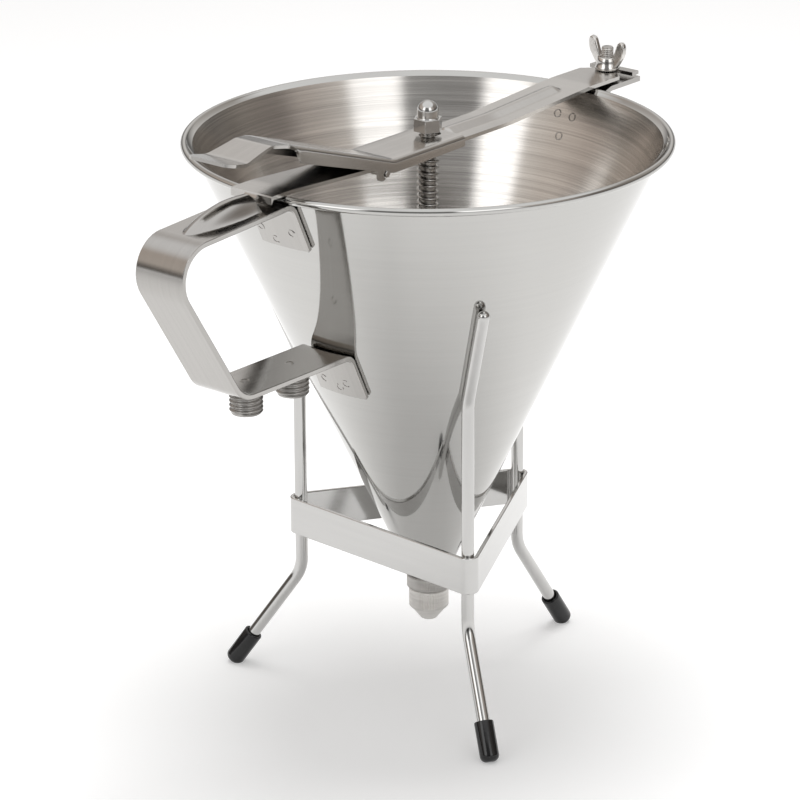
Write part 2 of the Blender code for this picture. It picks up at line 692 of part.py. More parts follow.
def make_bridge_bar():
    tongue_end = BAR_HANDLE_END + TONGUE_LENGTH
    start, end = RIB_START, RIB_END
    slope = RIB_SLOPE
    places = [-tongue_end] + [TONGUE_STEP_LENGTH * t - BAR_HANDLE_END for t in shares(5)]
    places += [-BAR_RAMP_END, -(BAR_RAMP_END + BAR_FLAT_HALF) / 2, -BAR_FLAT_HALF, 0.0]
    places += [start, start + slope / 2, start + slope, start + 2 * slope]
    places += [BAR_FLAT_HALF, (BAR_FLAT_HALF + end) / 2]
    places += [end - 2 * slope, end - slope, end - slope / 2, end]
    places += [BAR_RAMP_END, BAR_REAR_END]
    half = BAR_WIDTH / 2
    ridge = [RIB_HALF_WIDTH, RIB_HALF_WIDTH - slope / 2, RIB_HALF_WIDTH - slope, 0.0]
    across = [-half] + [-r for r in ridge[:-1]] + [0.0] + [r for r in reversed(ridge[:-1])] + [half]
    rows = [[(x, y, bar_mid_z(x) + rib_height(x, y) - tongue_drop(x)) for x in places] for y in across]
    bar = sheet("bridge_bar", rows, BAR_SHEET, SATIN_STEEL)
    smooth(bar.data)
    low, high = BAR_BOTTOM_Z - 5 * OVERRUN, BAR_BOTTOM_Z + 5 * OVERRUN
    for side in (1, -1):
        edge_in, edge_out = side * TONGUE_WIDTH / 2, side * (half + OVERRUN)
        lo = (-tongue_end - OVERRUN, min(edge_in, edge_out), low)
        hi = (GAP - BAR_HANDLE_END, max(edge_in, edge_out), high)
        combine(bar, box("tongue_side_near" if side < 0 else "tongue_side_far", lo, hi), "DIFFERENCE")
    corner = Vector((BAR_REAR_CORNER, half))
    point = Vector((BAR_REAR_END, BAR_REAR_HALF_WIDTH))
    run = (point - corner) / 2
    line = [corner - run, point + run]
    for side in (1, -1):
        outline = [(a.x, side * a.y) for a in line] + [((point + run).x, side * half * 2), (line[0].x, side * half * 2)]
        combine(bar, prism("corner_near" if side < 0 else "corner_far", outline, low, high), "DIFFERENCE")
    slot_half = STUD_RADIUS + GAP
    slot = prism("stud_slot", stadium(STUD_PLACE, BAR_REAR_END + 2 * OVERRUN, slot_half), low, high)
    rod_hole = cylinder("rod_hole", ROD_RADIUS + ROD_HOLE_PLAY, (0, 0, low), (0, 0, high), steps=24)
    combine(bar, slot, "DIFFERENCE")
    combine(bar, rod_hole, "DIFFERENCE")
    return bar


# Lever

def lever_path():
    """Mid-line of the lever's web as (out, height) points, from its rear end to the tip of the paddle."""
    arm_end_z = LEVER_WEB_Z + math.tan(LEVER_ARM_SLOPE) * (LEVER_ARM_END - LEVER_BEND)
    crest_z = arm_end_z + LEVER_CREST_RISE
    dip_z = crest_z - LEVER_DIP_DROP
    bend_from = LEVER_BEND - LEVER_LOBE_RADIUS
    corners = [
        (-LEVER_REAR_END, LEVER_WEB_Z),
        (bend_from, LEVER_WEB_Z),
        (LEVER_ARM_END, arm_end_z),
        (LEVER_CREST, crest_z),
        (LEVER_DIP, dip_z),
        (LEVER_TIP, dip_z + LEVER_TIP_RISE),
    ]
    round_shares = (3 * LEVER_LOBE_RADIUS, 6 * LEVER_LOBE_RADIUS, 3 * LEVER_LOBE_RADIUS, 4 * LEVER_LOBE_RADIUS)
    return filleted(corners, round_shares, arc_points=4)


def lever_half_width(out):
    """Half the width of the web's mid-surface: the channel, the neck and the paddle's round-cornered tip."""
    neck = smoothstep((out - LEVER_WALL_END) / (LEVER_CREST - LEVER_WALL_END))
    flare = smoothstep((out - LEVER_CREST) / (LEVER_TIP - LEVER_CREST))
    width = LEVER_WALL_Y + (LEVER_NECK_HALF_WIDTH - LEVER_WALL_Y) * neck
    width += (LEVER_TIP_HALF_WIDTH - LEVER_NECK_HALF_WIDTH) * flare
    into = max(0.0, out - (LEVER_TIP - LEVER_TIP_CORNER)) / LEVER_TIP_CORNER
    return width - LEVER_TIP_CORNER * (1 - math.sqrt(max(0.0, 1 - into * into)))


def lever_wall_depth(out, web_z):
    """How far the side walls hang below the web's mid-surface, with the pin's round lobes."""
    along = (out + LEVER_REAR_END) / (LEVER_WALL_END + LEVER_REAR_END)
    depth = LEVER_WALL_REAR + (LEVER_WALL_FRONT - LEVER_WALL_REAR) * along
    reach = LEVER_LOBE_RADIUS ** 2 - (out - LEVER_PIN_PLACE) ** 2
    if reach > 0:
        depth = max(depth, web_z - (LEVER_PIN_Z - math.sqrt(reach)) - LEVER_CORNER)
    return depth


def resampled(path, places):
    """Heights of a polyline at the places given along its first axis."""
    heights = []
    for place in places:
        for a, b in zip(path, path[1:]):
            if a.x <= place <= b.x + MERGE:
                t = (place - a.x) / (b.x - a.x)
                heights.append(a.y + (b.y - a.y) * min(max(t, 0.0), 1.0))
                break
    return heights


def make_lever():
    path = lever_path()
    lobe = LEVER_LOBE_RADIUS
    places = {point.x for point in path}
    places |= {LEVER_PIN_PLACE + lobe * t for t in (-1.25, -0.99, -0.85, -0.6, -0.3, 0.0, 0.3, 0.6, 0.85, 0.99, 1.25)}
    places |= {LEVER_WALL_END - LEVER_WALL_CUT * t for t in (0.0, 0.25, 0.5, 0.75, 1.0)}
    places |= {LEVER_BEND + (LEVER_WALL_END - LEVER_BEND) * t for t in (0.4, 0.65)}
    places |= {LEVER_TIP - LEVER_TIP_CORNER * t for t in (0.02, 0.14, 0.4, 0.7, 1.0)}
    ordered = []
    for place in sorted(places):
        if not ordered or place - ordered[-1] > LEVER_SHEET / 5:
            ordered.append(place)
    heights = resampled(path, ordered)
    rows = []
    last = len(ordered) - 1
    for i, (out, z) in enumerate(zip(ordered, heights)):
        a, b = max(i - 1, 0), min(i + 1, last)
        along = Vector((ordered[b] - ordered[a], heights[b] - heights[a])).normalized()
        down = Vector((along.y, -along.x))
        half = lever_half_width(out)
        depth = lever_wall_depth(out, z)
        folded = smoothstep((LEVER_WALL_END - out) / LEVER_WALL_CUT)
        inner = half - LEVER_CORNER
        channel = [(0.0, 0.0)]
        for k in range(4):
            angle = math.radians(30.0 * k)
            channel.append((inner + LEVER_CORNER * math.sin(angle), LEVER_CORNER - LEVER_CORNER * math.cos(angle)))
        channel.append((half, LEVER_CORNER + depth))
        flat = [(half * share, 0.0) for share in LEVER_SPREAD_SHARES]
        section = [
            (a[0] * (1 - folded) + b[0] * folded, a[1] * (1 - folded) + b[1] * folded)
            for a, b in zip(flat, channel)
        ]
        full = [(-y, d) for y, d in reversed(section[1:])] + section
        rows.append([(-(out + down.x * d), y, z + down.y * d) for y, d in full])
    lever = sheet("lever", rows, LEVER_SHEET, POLISHED_STEEL)
    smooth(lever.data)
    pin_hole = cylinder(
        "pin_hole", LEVER_PIN_RADIUS + GAP,
        (-LEVER_PIN_PLACE, -BAR_WIDTH, LEVER_PIN_Z), (-LEVER_PIN_PLACE, BAR_WIDTH, LEVER_PIN_Z), steps=16,
    )
    low, high = LEVER_WEB_Z - OVERRUN, LEVER_WEB_Z + OVERRUN
    slot_half = ROD_RADIUS + ROD_HOLE_PLAY
    slot = prism("rod_slot", stadium(0.0, LEVER_SLOT_REAR, slot_half), low, high)
    for cutter in (pin_hole, slot):
        combine(lever, cutter, "DIFFERENCE")
    return lever


def make_lever_pin():
    end = LEVER_WALL_Y + LEVER_SHEET / 2 + LEVER_PIN_HEAD
    pin = cylinder(
        "lever_pin", LEVER_PIN_RADIUS, (-LEVER_PIN_PLACE, -end, LEVER_PIN_Z), (-LEVER_PIN_PLACE, end, LEVER_PIN_Z),
        steps=16, material=SATIN_STEEL, collection=PARTS,
    )
    bevel = pin.modifiers.new("Rounded ends", "BEVEL")
    bevel.width = LEVER_PIN_HEAD / 2
    bevel.segments = 2
    bevel.limit_method = "ANGLE"
    smooth(pin.data)
    return pin


# Valve

def make_valve_rod():
    c = TURNED_CHAMFER
    profile = [
        (0.0, ROD_TOP),
        (ROD_RADIUS - c, ROD_TOP),
        (ROD_RADIUS, ROD_TOP - c),
        (ROD_RADIUS, ROD_BOTTOM),
        (0.0, ROD_BOTTOM),
    ]
    return turned("valve_rod", profile, SATIN_STEEL, steps=ROD_STEPS, closed=False)


def make_valve_plug():
    top = PLUG_TOP + PLUG_SHOULDER
    nose = PLUG_TOP - PLUG_TAPER
    profile = [
        (0.0, top),
        (ROD_RADIUS + TURNED_CHAMFER, top),
        (PLUG_RADIUS, PLUG_TOP),
        (PLUG_NOSE_RADIUS, nose),
        (PLUG_NOSE_RADIUS / 2, nose - PLUG_NOSE_RADIUS / 2),
        (0.0, nose - PLUG_NOSE_RADIUS / 2 - TURNED_CHAMFER),
    ]
    return turned("valve_plug", profile, SATIN_STEEL, steps=24, closed=False)


def make_spring_retainer():
    bore = ROD_RADIUS + GAP
    bottom = RETAINER_TOP - RETAINER_HEIGHT
    c = TURNED_CHAMFER
    profile = [
        (bore, RETAINER_TOP),
        (RETAINER_RADIUS - c, RETAINER_TOP),
        (RETAINER_RADIUS, RETAINER_TOP - c),
        (RETAINER_RADIUS, bottom + c),
        (RETAINER_RADIUS - c, bottom),
        (bore, bottom),
    ]
    return turned("spring_retainer", profile, SATIN_STEEL, steps=24)


def spring_points():
    """Centre line of the coil: even turns between two closer end turns."""
    top = SPRING_TOP - WIRE_RADIUS
    travel = SPRING_LENGTH - 2 * WIRE_RADIUS
    count = SPRING_TURNS * POINTS_PER_TURN
    middle_pitch = (travel - 2 * SPRING_END_PITCH) / (SPRING_TURNS - 2)
    points = []
    for i in range(count + 1):
        turn = i / POINTS_PER_TURN
        if turn <= 1:
            drop = SPRING_END_PITCH * turn
        elif turn <= SPRING_TURNS - 1:
            drop = SPRING_END_PITCH + middle_pitch * (turn - 1)
        else:
            drop = travel - SPRING_END_PITCH * (SPRING_TURNS - turn)
        angle = math.tau * turn
        points.append(Vector((SPRING_RADIUS * math.cos(angle), SPRING_RADIUS * math.sin(angle), top - drop)))
    return points


def tube_from_points(name, points, radius, material, resolution=1, radii=None):
    """A wire or rod along a line of points. Its radius can follow a share at each point."""
    curve = bpy.data.curves.new(name, "CURVE")
    curve.dimensions = "3D"
    curve.bevel_depth = radius
    curve.bevel_resolution = resolution
    curve.use_fill_caps = True
    spline = curve.splines.new("POLY")
    spline.points.add(len(points) - 1)
    for i, point in enumerate(points):
        spline.points[i].co = (*point, 1.0)
        spline.points[i].radius = radii[i] if radii else 1.0
    return add_object(name, curve, material)


def make_return_spring():
    points = spring_points()
    least = min(
        (points[i] - points[j]).length
        for i in range(len(points))
        for j in range(i + POINTS_PER_TURN - 2, min(i + POINTS_PER_TURN + 3, len(points)))
    )
    print("return_spring least gap between turns in mm:", round((least - 2 * WIRE_RADIUS) / MM, 2))
    return tube_from_points("return_spring", points, WIRE_RADIUS, SPRING_STEEL)


def make_dome_nut():
    hex_radius = DOME_NUT_FLATS / math.sqrt(3.0)
    bm = bmesh.new()
    bmesh.ops.create_cone(
        bm, cap_ends=True, segments=6, radius1=hex_radius, radius2=hex_radius, depth=DOME_NUT_HEX,
        matrix=Matrix.Translation((0, 0, DOME_NUT_Z + DOME_NUT_HEX / 2)),
    )
    nut = add_object("dome_nut", mesh_from_bmesh(bm, "dome_nut"), POLISHED_STEEL)
    face = DOME_NUT_FLATS / 2
    chamfer_drop = (hex_radius - face) * math.tan(math.radians(30.0))
    trim = turned("nut_trim", [
        (0.0, DOME_NUT_Z + DOME_NUT_HEX),
        (face, DOME_NUT_Z + DOME_NUT_HEX),
        (hex_radius + GAP, DOME_NUT_Z + DOME_NUT_HEX - 2 * chamfer_drop),
        (hex_radius + GAP, DOME_NUT_Z + chamfer_drop),
        (face, DOME_NUT_Z),
        (0.0, DOME_NUT_Z),
    ], steps=24, closed=False, collection=CUTTERS)
    dome_z = DOME_NUT_Z + DOME_NUT_HEX + DOME_NUT_NECK
    arc = [
        (DOME_NUT_DOME_RADIUS * math.sin(math.radians(a)), dome_z + DOME_NUT_DOME_RADIUS * math.cos(math.radians(a)))
        for a in (0.0, 18.0, 36.0, 54.0, 72.0, 90.0)
    ]
    dome = turned(
        "nut_dome", arc + [
            (DOME_NUT_DOME_RADIUS, DOME_NUT_Z + DOME_NUT_HEX / 2),
            (0.0, DOME_NUT_Z + DOME_NUT_HEX / 2),
        ],
        steps=24, closed=False, collection=CUTTERS,
    )
    bore = cylinder(
        "nut_bore", ROD_RADIUS + GAP, (0, 0, DOME_NUT_Z - OVERRUN), (0, 0, DOME_NUT_Z + DOME_NUT_BORE_DEPTH),
    )
    combine(nut, trim, "INTERSECT")
    combine(nut, dome, "UNION")
    combine(nut, bore, "DIFFERENCE")
    return nut


# Stand

def leg_angle(index):
    return STAND_TURN + math.tau * index / LEG_COUNT


def leg_path():
    """Centre line of a leg as (radius, height) points, from the foot up to the domed top."""
    foot_z = CAP_RADIUS - CAP_FLAT
    top_r = cone_radius(LEG_TOP_Z) + (LEG_RADIUS + GAP) / COS
    corners = [
        (LEG_FOOT_RADIUS, foot_z),
        (LEG_RING_RADIUS, LEG_LOWER_BEND_Z),
        (LEG_RING_RADIUS, LEG_RING_Z),
        (top_r, LEG_TOP_Z),
    ]
    return filleted(corners, (LEG_BEND_RADIUS, LEG_BEND_RADIUS), arc_points=6)


def make_legs():
    path = leg_path()
    shaft_end = path[0] + (path[1] - path[0]).normalized() * (CAP_RADIUS - LEG_RADIUS)
    tip, before = path[-1], path[-2]
    along = (tip - before).normalized()
    dome_shares = (0.0, 0.35, 0.65, 0.87, 0.98)
    dome = [tip + along * LEG_RADIUS * s for s in dome_shares]
    line = [shaft_end] + path[1:-1] + dome
    radii = [1.0] * (len(path) - 1) + [math.sqrt(1 - s * s) for s in dome_shares]
    for index in range(LEG_COUNT):
        leg = tube_from_points(
            f"stand_leg_{index + 1}", [Vector((r, 0.0, z)) for r, z in line], LEG_RADIUS, POLISHED_STEEL,
            resolution=4, radii=radii,
        )
        leg.rotation_euler.z = leg_angle(index)


def make_foot_caps():
    path = leg_path()
    along = (path[1] - path[0]).normalized()
    lean = math.atan2(-along.x, along.y)
    bore = LEG_RADIUS + GAP
    bore_bottom = CAP_RADIUS - LEG_RADIUS - GAP
    top = CAP_LENGTH - CAP_RADIUS
    rounding = [
        (
            CAP_RADIUS - CAP_ROUND + CAP_ROUND * math.cos(math.radians(a)),
            -CAP_RADIUS + CAP_ROUND - CAP_ROUND * math.sin(math.radians(a)),
        )
        for a in (0.0, 25.0, 50.0, 75.0, 90.0)
    ]
    c = TURNED_CHAMFER
    profile = [(bore, top), (CAP_RADIUS - c, top), (CAP_RADIUS, top - c)] + rounding
    profile += [(0.0, -CAP_RADIUS)]
    inner = [(0.0, bore_bottom), (bore, bore_bottom)]
    for index in range(LEG_COUNT):
        cap = turned(f"foot_cap_{index + 1}", inner_first(inner, profile), RUBBER, steps=24, closed=False)
        place = Matrix.Rotation(leg_angle(index), 4, "Z") @ Matrix.Translation((path[0].x, 0.0, path[0].y))
        cap.matrix_world = place @ Matrix.Rotation(-lean, 4, "Y")
        floor = box(
            f"floor_{index + 1}",
            (-2 * LEG_FOOT_RADIUS, -2 * LEG_FOOT_RADIUS, -CAP_LENGTH), (2 * LEG_FOOT_RADIUS, 2 * LEG_FOOT_RADIUS, 0.0),
        )
        combine(cap, floor, "DIFFERENCE")


def inner_first(inner, outer):
    """An open profile that starts on the axis inside a bore and ends on the axis outside it."""
    return inner + outer


def make_band():
    """A flat strip bent into a triangle round the three legs, with round corners."""
    centres = [Vector((math.cos(leg_angle(i)), math.sin(leg_angle(i)))) * LEG_RING_RADIUS for i in range(LEG_COUNT)]

    def outline(radius):
        points = []
        for i, centre in enumerate(centres):
            middle = leg_angle(i)
            for t in shares(BAND_CORNER_POINTS - 1):
                angle = middle + math.radians(120.0) * (t - 0.5)
                points.append(centre + Vector((math.cos(angle), math.sin(angle))) * radius)
        return points

    curve = bpy.data.curves.new("stand_band", "CURVE")
    curve.dimensions = "2D"
    curve.fill_mode = "BOTH"
    curve.extrude = BAND_HEIGHT / 2
    inner = LEG_RADIUS + GAP
    for radius in (inner + BAND_SHEET, inner):
        points = outline(radius)
        spline = curve.splines.new("POLY")
        spline.points.add(len(points) - 1)
        for i, point in enumerate(points):
            spline.points[i].co = (point.x, point.y, 0.0, 1.0)
        spline.use_cyclic_u = True
    band = add_object("stand_band", curve, POLISHED_STEEL)
    band.location.z = BAND_Z


def carry_all():
    """Parents every free object to an empty on the funnel's axis, which sets the origin midway in length."""
    reach = max(out for out, _ in handle_path(0.0)) + HANDLE_SHEET / 2
    axis = bpy.data.objects.new("funnel_axis", None)
    PARTS.objects.link(axis)
    axis.location.x = (reach - BRACKET_END) / 2
    for obj in list(PARTS.objects) + list(CUTTERS.objects):
        if obj is not axis and obj.parent is None:
            obj.parent = axis


clear_scene()
PARTS = make_collection("dispensing_funnel")
CUTTERS = make_collection("cutters")
MIRROR_STEEL = make_material("mirror steel", (0.62, 0.61, 0.59), 1.0, 0.08)
SATIN_STEEL = make_material("satin steel", (0.58, 0.57, 0.55), 1.0, 0.28)
POLISHED_STEEL = make_material("polished steel", (0.64, 0.63, 0.61), 1.0, 0.14)
CAST_STEEL = make_material("cast steel", (0.55, 0.54, 0.52), 1.0, 0.32)
SPRING_STEEL = make_material("spring steel", (0.50, 0.49, 0.47), 1.0, 0.22)
RUBBER = make_material("black rubber", (0.012, 0.012, 0.013), 0.0, 0.30)

make_bowl()
make_spout()
make_spout_collar()
make_nozzle()
make_handle()
make_nozzle_studs()
make_rear_bracket()
make_rear_stud()
make_wing_nut()
make_bridge_bar()
make_lever()
make_lever_pin()
make_valve_rod()
make_valve_plug()
make_spring_retainer()
make_return_spring()
make_dome_nut()
make_legs()
make_foot_caps()
make_band()
carry_all()
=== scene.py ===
"""Looks of a steel dispensing funnel, laid out as an add-on and run as a script.

Every length is in metres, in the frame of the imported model. The funnel's own axis stands at AXIS_X, and
a place "out" is a distance from that axis towards the handle, which is at -X.
"""
import math

import bmesh
import bpy
from bpy.props import FloatProperty, FloatVectorProperty, IntProperty, PointerProperty
from mathutils import Matrix, Vector


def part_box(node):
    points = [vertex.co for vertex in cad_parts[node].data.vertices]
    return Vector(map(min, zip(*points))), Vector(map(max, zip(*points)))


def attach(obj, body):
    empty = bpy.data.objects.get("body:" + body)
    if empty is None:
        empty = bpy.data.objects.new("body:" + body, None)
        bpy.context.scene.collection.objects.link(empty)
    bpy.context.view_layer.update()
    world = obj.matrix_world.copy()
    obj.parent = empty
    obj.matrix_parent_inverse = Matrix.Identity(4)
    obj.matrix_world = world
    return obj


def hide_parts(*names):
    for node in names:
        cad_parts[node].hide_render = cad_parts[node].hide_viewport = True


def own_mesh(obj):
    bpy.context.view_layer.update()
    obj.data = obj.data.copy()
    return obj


bl_info = {
    "name": "Dispensing funnel",
    "version": (1, 0, 0),
    "blender": (4, 5, 0),
    "location": "3D View > Sidebar > Funnel",
    "description": "Builds the look of a steel dispensing funnel round its CAD frame",
    "category": "Object",
}

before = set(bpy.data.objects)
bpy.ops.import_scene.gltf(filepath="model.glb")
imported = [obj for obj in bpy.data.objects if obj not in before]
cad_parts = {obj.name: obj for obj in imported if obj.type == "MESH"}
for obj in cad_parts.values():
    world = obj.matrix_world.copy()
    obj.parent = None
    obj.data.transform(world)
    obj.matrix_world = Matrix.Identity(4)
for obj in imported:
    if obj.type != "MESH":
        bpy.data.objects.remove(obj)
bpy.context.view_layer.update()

MM = 0.001
WHITE = (1.0, 1.0, 1.0, 1.0)


def span(node, axis):
    low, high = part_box(node)
    return low[axis], high[axis]


def centre_of(node):
    low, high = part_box(node)
    return (low + high) / 2


# Sizes that more than one piece reads

AXIS_X = centre_of("valve_rod").x
STUD_X = centre_of("rear_stud").x
NEAR_Y, FAR_Y = span("funnel_bowl", 1)
RIM_RADIUS = (FAR_Y - NEAR_Y) / 2
FOOT_Z, RIM_Z = span("funnel_bowl", 2)
SHEET_GAP = 0.3 * MM
CONE_ANGLE = math.radians(25.0)
TAN, COS = math.tan(CONE_ANGLE), math.cos(CONE_ANGLE)
BEAD = 1.5 * MM
BEAD_STAND_OFF = 0.75 * MM
APEX_Z = RIM_Z - BEAD - (RIM_RADIUS - 2 * BEAD - BEAD_STAND_OFF) / TAN
SPOUT_BORE = 6.6 * MM
ROD_HOLE = 3.5 * MM

HANDLE_TOP_Z = RIM_Z - 4.4 * MM
HANDLE_SLOPE = math.tan(math.radians(-3.2))
HANDLE_REACH = RIM_RADIUS + 65.0 * MM
HANDLE_BOTTOM_Z = RIM_Z - 71.6 * MM
HANDLE_GRIP_SLOPE = math.tan(math.radians(57.7))
HANDLE_FLANGE_TOP, HANDLE_FLANGE_FOOT = RIM_Z - 23.5 * MM, RIM_Z - 90.5 * MM
HANDLE_BENDS = (5.0 * MM, 13.0 * MM, 11.0 * MM, 5.0 * MM)
HANDLE_SHEET_HALF = 1.0 * MM
HANDLE_ROWS = 46
HOOD_MOUTH = RIM_RADIUS + 8.5 * MM
HOOD_LENGTH = 33.0 * MM
HOOD_HALF_WIDTH = 7.9 * MM
HOOD_SLIT_HALF = 8.4 * MM
HOOD_COLUMNS = 58

BAR_SHEET = 1.5 * MM
BAR_HALF = 10.0 * MM
BAR_SAG = 3.0 * MM
BAR_MID_Z = RIM_Z + SHEET_GAP + BAR_SHEET / 2
BAR_BOTTOM_Z = BAR_MID_Z - BAR_SAG - BAR_SHEET / 2
BAR_RAMP_END = RIM_RADIUS - 5.0 * MM
BAR_RAMP_RUN = RIM_RADIUS - 42.0 * MM
BAR_HANDLE_END = RIM_RADIUS + 6.5 * MM
BAR_TONGUE_END = BAR_HANDLE_END + 9.5 * MM
BAR_TONGUE_HALF = 3.0 * MM
BAR_STEP_START, BAR_STEP_RUN = 1.4 * MM, 3.3 * MM
BAR_REAR_CORNER = RIM_RADIUS + 13.5 * MM
BAR_REAR_END = RIM_RADIUS + 19.2 * MM
BAR_REAR_HALF = 3.6 * MM
BAR_SLOT_START, BAR_SLOT_HALF = RIM_RADIUS + 18.5 * MM, 2.8 * MM
BAR_ROWS = 32
# Where the bar's columns change their spacing, and how many lie in each stretch
BAR_STOPS = (
    -BAR_TONGUE_END, -BAR_HANDLE_END - 2.4 * MM, -BAR_HANDLE_END + 1.6 * MM, 8.0 * MM, 22.0 * MM, 70.0 * MM,
    84.0 * MM, BAR_REAR_END,
)
BAR_COLUMNS = (3, 20, 44, 24, 18, 24, 10)
RIB_HALF = 4.8 * MM
RIB_HEIGHT = 2.0 * MM
RIB_START, RIB_RUN = 9.2 * MM, 1.8 * MM
RIB_END = RIM_RADIUS - 14.0 * MM - RIB_HALF

LEVER_WEB_Z = BAR_MID_Z - BAR_SAG + BAR_SHEET / 2 + SHEET_GAP + 0.6 * MM
LEVER_REAR = 8.5 * MM
LEVER_BEND = 33.4 * MM
LEVER_ARM_END = RIM_RADIUS - 4.0 * MM
LEVER_ARM_SLOPE, LEVER_ARM_START = math.tan(math.radians(19.0)), 36.0 * MM
LEVER_CREST_RISE, LEVER_DIP_DROP, LEVER_TIP_RISE = 1.2 * MM, 3.1 * MM, 2.0 * MM
LEVER_WALL_END = RIM_RADIUS - 6.5 * MM
LEVER_WALL_CUT = 4.5 * MM
LEVER_WALL_REAR, LEVER_WALL_GAIN = 2.5 * MM, 1.9 * MM
LEVER_WALL_Y = BAR_HALF + 0.35 * MM + 0.6 * MM
LEVER_CREST = RIM_RADIUS + 4.5 * MM
LEVER_DIP = RIM_RADIUS + 19.0 * MM
LEVER_TIP = RIM_RADIUS + 29.5 * MM
LEVER_BENDS = (7.8 * MM, 15.6 * MM, 7.8 * MM, 10.4 * MM)
LEVER_NECK_HALF = 8.8 * MM
LEVER_TIP_GAIN = 2.0 * MM
LEVER_TIP_CORNER = 4.2 * MM
LEVER_FOLD_CORNER = 1.2 * MM
LEVER_FOLD_END, LEVER_FOLD_RUN = LEVER_WALL_END + 5.0 * MM, 9.0 * MM
LEVER_SLOT_END = 2.4 * MM
LEVER_PIN_PLACE = 38.0 * MM
LEVER_PIN_Z = BAR_BOTTOM_Z - SHEET_GAP - 1.25 * MM
LEVER_PIN_HOLE = 1.55 * MM
LEVER_LOBE = 2.6 * MM

COIL_RADIUS = 3.9 * MM
COIL_END_PITCH = 1.6 * MM
COIL_POINTS = 28

LEG_COUNT = 3
STAND_TURN = math.radians(-3.6)
LEG_FOOT = (80.0 * MM, 3.45 * MM)
LEG_LOWER_BEND_Z, LEG_UPPER_BEND_Z = 43.5 * MM, 136.5 * MM
LEG_TOP_Z = RIM_Z - 50.0 * MM
LEG_BENDS = (16.0 * MM, 16.0 * MM)

# Weld marks on the flanges: places across and up in millimetres, and a turn in degrees
FLANGE_MARKS = (
    (9.0, 211.2, 200.0), (3.0, 206.9, 60.0), (-6.5, 211.4, 20.0),
    (6.6, 142.9, 30.0), (-0.8, 140.6, 110.0), (-4.6, 143.0, 60.0),
)
# Weld marks over the studs: places out in millimetres, and a turn in degrees
STUD_MARKS = ((80.5, 80.0), (105.5, 140.0))
# Weld marks in the bowl: the side, -1 at the handle and 1 at the bracket, and millimetres across and up
INSIDE_MARKS = (
    (-1, 5.0, 211.0), (-1, -5.0, 207.0), (-1, 0.0, 215.0), (1, 3.7, 217.0), (1, -3.7, 216.7), (1, 0.2, 209.0),
)

# Millimetres from the nut's axis and its foot
NUT_PROFILE = (
    (2.8, 5.2), (3.5, 5.3), (3.95, 4.9), (4.2, 3.4), (4.45, 1.8), (5.0, 1.1), (5.0, 0.3), (4.7, 0.0),
    (2.8, 0.0),
)
WING_OUTLINE = (
    (3.2, 0.6), (4.6, 0.7), (6.0, 2.0), (7.6, 4.0), (9.0, 6.0), (9.8, 8.0), (9.9, 10.2), (9.4, 11.7),
    (8.4, 12.4), (7.1, 12.2), (6.1, 11.2), (5.4, 9.4), (4.6, 7.4), (3.7, 5.6), (3.2, 4.6),
)
WING_THICKNESS = 2.3 * MM
WING_TURN = math.radians(-8.0)

# Each finish: its name, its colour and the share of it, the roughness and its spread, the stretch of the
# lines, the depths of lines and waves in millimetres, the darker tone, the scale of the handling marks,
# and the anisotropy where there is one
STEELS = {
    "mirror": ("Mirror steel", "mirror", 1.0, 0.045, 0.03, (25.0, 25.0, 1500.0), 0.0003, 0.5, 0.985, 24.0),
    "brushed": (
        "Brushed bowl steel", "brushed", 1.0, 0.185, 0.04, (11.0, 11.0, 2100.0), 0.009, 0.04, 0.8, 20.0, 0.85
    ),
    "bar": ("Bar steel", "satin", 1.0, 0.16, 0.06, (1500.0, 14.0, 14.0), 0.001, 0.05, 0.975, 45.0),
    "strip": ("Strip steel", "satin", 0.84, 0.13, 0.06, (14.0, 1500.0, 14.0), 0.0015, 0.08, 0.965, 45.0),
    "lever": ("Lever steel", "satin", 1.0, 0.17, 0.06, (14.0, 1500.0, 80.0), 0.0015, 0.06, 0.96, 60.0),
    "turned": ("Turned steel", "satin", 1.0, 0.24, 0.06, (60.0, 60.0, 2200.0), 0.006, 0.02, 0.88, 120.0),
    "thread": ("Threaded steel", "satin", 0.7, 0.26, 0.06, (60.0, 60.0, 2200.0), 0.006, 0.02, 0.85, 160.0),
    "collar": ("Collar steel", "satin", 0.95, 0.32, 0.06, (90.0, 90.0, 700.0), 0.008, 0.02, 0.85, 160.0),
    "knurled": ("Knurled steel", "satin", 1.2, 0.32, 0.06, (90.0, 90.0, 700.0), 0.008, 0.02, 0.85, 160.0),
    "rod": ("Polished rod steel", "polished", 1.0, 0.06, 0.04, (260.0, 260.0, 30.0), 0.001, 0.03, 0.96, 70.0),
    "band": (
        "Polished band steel", "polished", 1.0, 0.09, 0.04, (30.0, 30.0, 900.0), 0.0008, 0.3, 0.98, 35.0
    ),
    "cast": ("Cast steel", "satin", 1.15, 0.1, 0.06, (420.0, 420.0, 420.0), 0.02, 0.05, 0.86, 320.0),
    "spring": ("Spring wire", "satin", 0.86, 0.2, 0.06, (300.0, 300.0, 900.0), 0.006, 0.02, 0.85, 200.0),
}
KEPT_NODES = {
    "outlet_spout": "turned", "valve_plug": "turned", "spring_retainer": "turned", "lever_pin": "turned",
    "rear_bracket": "strip",
}
FINISHES = {}

